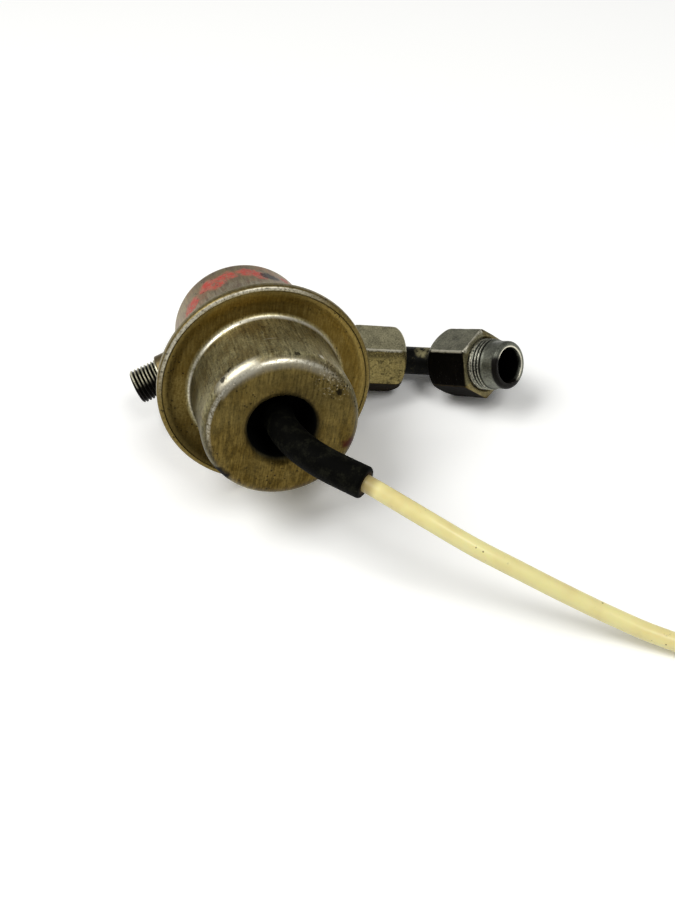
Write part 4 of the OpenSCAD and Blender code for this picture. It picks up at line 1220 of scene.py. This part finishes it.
class REGULATOR_OT_unions(bpy.types.Operator):
    """Makes the two union nuts, the bent pipe between them and the coupling"""

    bl_idname = "regulator.unions"
    bl_label = "Unions"

    nut_segments = 288
    nut_step = 0.45 * MM
    dome_steps = 22
    inner_turn = math.radians(-21)
    inner_seed = 2.0
    outer_turn = math.radians(-18)
    outer_seed = 6.0
    hole = 5.1 * MM
    hole_length = 3.0 * MM
    bore = 7.05 * MM
    seat = 4.95 * MM
    chamfer = 0.6 * MM
    pipe_sides = 48
    coupling_segments = 160
    coupling_step = 0.12 * MM
    coupling_start = 6.45 * MM
    coupling_end = 23 * MM
    start_chamfer = 0.8 * MM
    thread_start = 14.8 * MM
    thread_end = 18.5 * MM
    thread_depth = 0.45 * MM
    thread_fineness = 0.7
    thread_run_out = 0.3 * MM
    groove_end = 18.0 * MM
    relief = 0.6 * MM
    nose = 6.5 * MM
    nose_root = 0.3 * MM
    nose_edge = 0.9 * MM
    mouth = 4.9 * MM
    mouth_edge = 0.25 * MM
    socket = 4.02 * MM
    passage = 3.0 * MM
    cone = 4.6 * MM
    socket_length = 2.4 * MM
    oil_start = 21.4 * MM

    def execute(self, context):
        sizes = context.scene.regulator_unions
        colours = context.scene.regulator_finish
        inner = INNER_UNION @ Matrix.Rotation(self.inner_turn, 4, "Z")
        zinc = nut_zinc("inner_nut_zinc", colours, inner, self.flat(inner, UP), colours.inner_top,
                        self.flat(inner, AXIS), colours.inner_front, pits=1.0)
        self.nut("inner_nut_worn", sizes, inner, zinc, "zinc_worn", "inner_nut", self.inner_seed)
        # The outer nut's flat towards the body is near-black: painted shade and oil.
        outer = OUTER_UNION @ Matrix.Rotation(self.outer_turn, 4, "Z")
        zinc = nut_zinc("outer_nut_zinc", colours, outer, self.flat(outer, UP), colours.outer_top,
                        self.flat(outer, AXIS - SUPPLY_SIDE), colours.dirt, pits=0.0)
        self.nut("outer_nut_dark", sizes, outer, zinc, "zinc_dark", "outer_nut", self.outer_seed)
        self.pipe(sizes, colours)
        self.coupling(sizes, colours)
        return {"FINISHED"}

    def flat(self, place, direction):
        """The way out of the flat that faces a direction most, on the nut's own axes."""
        facing = place.to_3x3().transposed() @ direction
        turns = [math.radians(turn) for turn in range(30, 390, 60)]
        ways = [Vector((math.cos(turn), math.sin(turn), 0)) for turn in turns]
        return max(ways, key=facing.dot)

    def nut(self, name, sizes, place, material, slot, node, seed):
        corner = sizes.flats / 2 / math.cos(math.pi / 6)
        width = corner - sizes.end / 2
        bulge = (width ** 2 + sizes.dome ** 2) / (2 * width)
        first = math.asin(-sizes.dome / bulge) if width <= bulge else -math.pi / 2
        angles = [first * (1 - step / self.dome_steps) for step in range(self.dome_steps + 1)]
        dome = [(corner - bulge + bulge * math.cos(angle), sizes.dome + bulge * math.sin(angle))
                for angle in angles]
        length = sizes.nut
        rest = [
            (corner, length - self.chamfer),
            (sizes.flats / 2 - self.chamfer, length),
            (self.bore + self.chamfer, length),
            (self.bore, length - self.chamfer),
            (self.bore, self.seat),
            (self.hole, self.hole_length),
            (self.hole, 0),
        ]
        outline = spaced([Vector(point) for point in dome + rest], self.nut_step)
        shape = hexagon(sizes.flats, sizes.softness, seed)
        new_piece(name, turned(outline, self.nut_segments, shape), material, node, place)

    def pipe(self, sizes, colours):
        corner = SUPPLY_CENTRE + PIPE_CORNER * SUPPLY_SIDE
        start = SUPPLY_CENTRE + (NUT_REACH - PIPE_IN_NUT) * SUPPLY_SIDE
        end = corner + (NUT_GAP + PIPE_IN_NUT) * OUTLET_SIDE
        path = bent_path(start, corner, end, PIPE_BEND)
        steel = blackened_steel("blackened_steel", colours)
        tube("bent_pipe", path, [sizes.pipe / 2] * len(path), self.pipe_sides, steel,
             "link_pipe")
        coat(steel, "inner_cone", "outer_cone")

    def coupling(self, sizes, colours):
        crest = sizes.thread / 2
        end = self.coupling_end
        inner = end - self.cone
        corners = [
            (self.passage, self.coupling_start, 0),
            (crest - self.start_chamfer, self.coupling_start, 0),
            (crest, self.coupling_start + self.start_chamfer, 0),
            (crest, self.thread_start, 0),
            (crest, self.thread_end - self.relief, 0),
            (self.nose, self.thread_end, self.nose_root),
            (self.nose, end, self.nose_edge),
            (self.mouth, end, self.mouth_edge),
            (self.socket, inner, 0),
            (self.socket, inner - self.socket_length, 0),
            (self.passage, inner - self.socket_length, 0),
        ]
        outline = screw_outline(corners, self.thread_start, self.thread_end, self.coupling_step)
        cut = thread(crest, self.thread_depth, sizes.pitch * self.thread_fineness, self.thread_start,
                     self.thread_end + self.thread_run_out)
        steel = worn_steel("coupling_steel", colours, OUTER_UNION, colours.coupling,
                           AXIS - SUPPLY_SIDE - UP, crest=crest, mouth=self.mouth, collar=0.0,
                           thread_end=self.groove_end, end=end, dark_from=self.oil_start)
        new_piece("coupling_turned", turned(outline, self.coupling_segments, cut), steel,
                  "coupling", OUTER_UNION, CREASE)


class REGULATOR_OT_inner_works(bpy.types.Operator):
    """Winds the spring, and gives the diaphragm and valve inside the shells their finishes"""

    bl_idname = "regulator.inner_works"
    bl_label = "Inner works"

    coil = 14.3 * MM
    wire = 1.3 * MM
    wire_sides = 16
    turns = 5
    turn_steps = 40
    spring_low = 0.52 * MM
    spring_high = 19.28 * MM
    steel_roughness = 0.28
    wire_roughness = 0.36
    plated_roughness = 0.34

    def execute(self, context):
        colours = context.scene.regulator_finish
        steel = clean_steel("clean_steel", colours.steel, self.steel_roughness)
        wire = clean_steel("spring_wire", colours.wire, self.wire_roughness)
        plated = clean_steel("plated_steel", colours.plated, self.plated_roughness)
        cloth = black_rubber("diaphragm_rubber", colours, colours.cloth)
        coat(steel, "valve_carrier", "valve_ball", "valve_plate", "seat_tube", "vacuum_nipple")
        coat(plated, "spring_seat", "support_washer", "return_block")
        coat(wire, "plate_ring")
        coat(cloth, "diaphragm")
        self.spring(wire)
        return {"FINISHED"}

    def spring(self, material):
        """The coil, wound as a fixed tube; the real spring shortens by as much as the valve lifts."""
        steps = self.turns * self.turn_steps
        path = []
        for step in range(steps + 1):
            angle = 2 * math.pi * step / self.turn_steps
            height = self.spring_low + (self.spring_high - self.spring_low) * step / steps
            path.append(BODY @ Vector((self.coil * math.cos(angle), self.coil * math.sin(angle), height)))
        piece = tube("coil_spring", path, [self.wire] * len(path), self.wire_sides, material,
                     "pressure_spring")
        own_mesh(piece)


OPERATORS = (REGULATOR_OT_stage, REGULATOR_OT_vacuum_line, REGULATOR_OT_shells, REGULATOR_OT_stubs,
             REGULATOR_OT_unions, REGULATOR_OT_inner_works)


class REGULATOR_PT_sidebar(bpy.types.Panel):
    """Shows a button for each step that makes the regulator's pieces"""

    bl_idname = "REGULATOR_PT_sidebar"
    bl_label = "Fuel pressure regulator"
    bl_space_type = "VIEW_3D"
    bl_region_type = "UI"
    bl_category = "Regulator"

    def draw(self, context):
        for operator in OPERATORS:
            self.layout.operator(operator.bl_idname)


GROUPS = {"regulator_shells": ShellSizes, "regulator_unions": UnionSizes, "regulator_line": LineSizes,
          "regulator_finish": FinishColours, "regulator_stage": StageLook}


def register():
    for group in GROUPS.values():
        bpy.utils.register_class(group)
    for name, group in GROUPS.items():
        setattr(bpy.types.Scene, name, bpy.props.PointerProperty(type=group))
    for operator in OPERATORS:
        bpy.utils.register_class(operator)
    bpy.utils.register_class(REGULATOR_PT_sidebar)


def unregister():
    bpy.utils.unregister_class(REGULATOR_PT_sidebar)
    for operator in reversed(OPERATORS):
        bpy.utils.unregister_class(operator)
    for name in GROUPS:
        delattr(bpy.types.Scene, name)
    for group in reversed(GROUPS.values()):
        bpy.utils.unregister_class(group)


def main():
    register()
    bpy.ops.regulator.stage()
    bpy.ops.regulator.vacuum_line()
    bpy.ops.regulator.shells()
    bpy.ops.regulator.stubs()
    bpy.ops.regulator.unions()
    bpy.ops.regulator.inner_works()


if __name__ == "__main__":
    main()
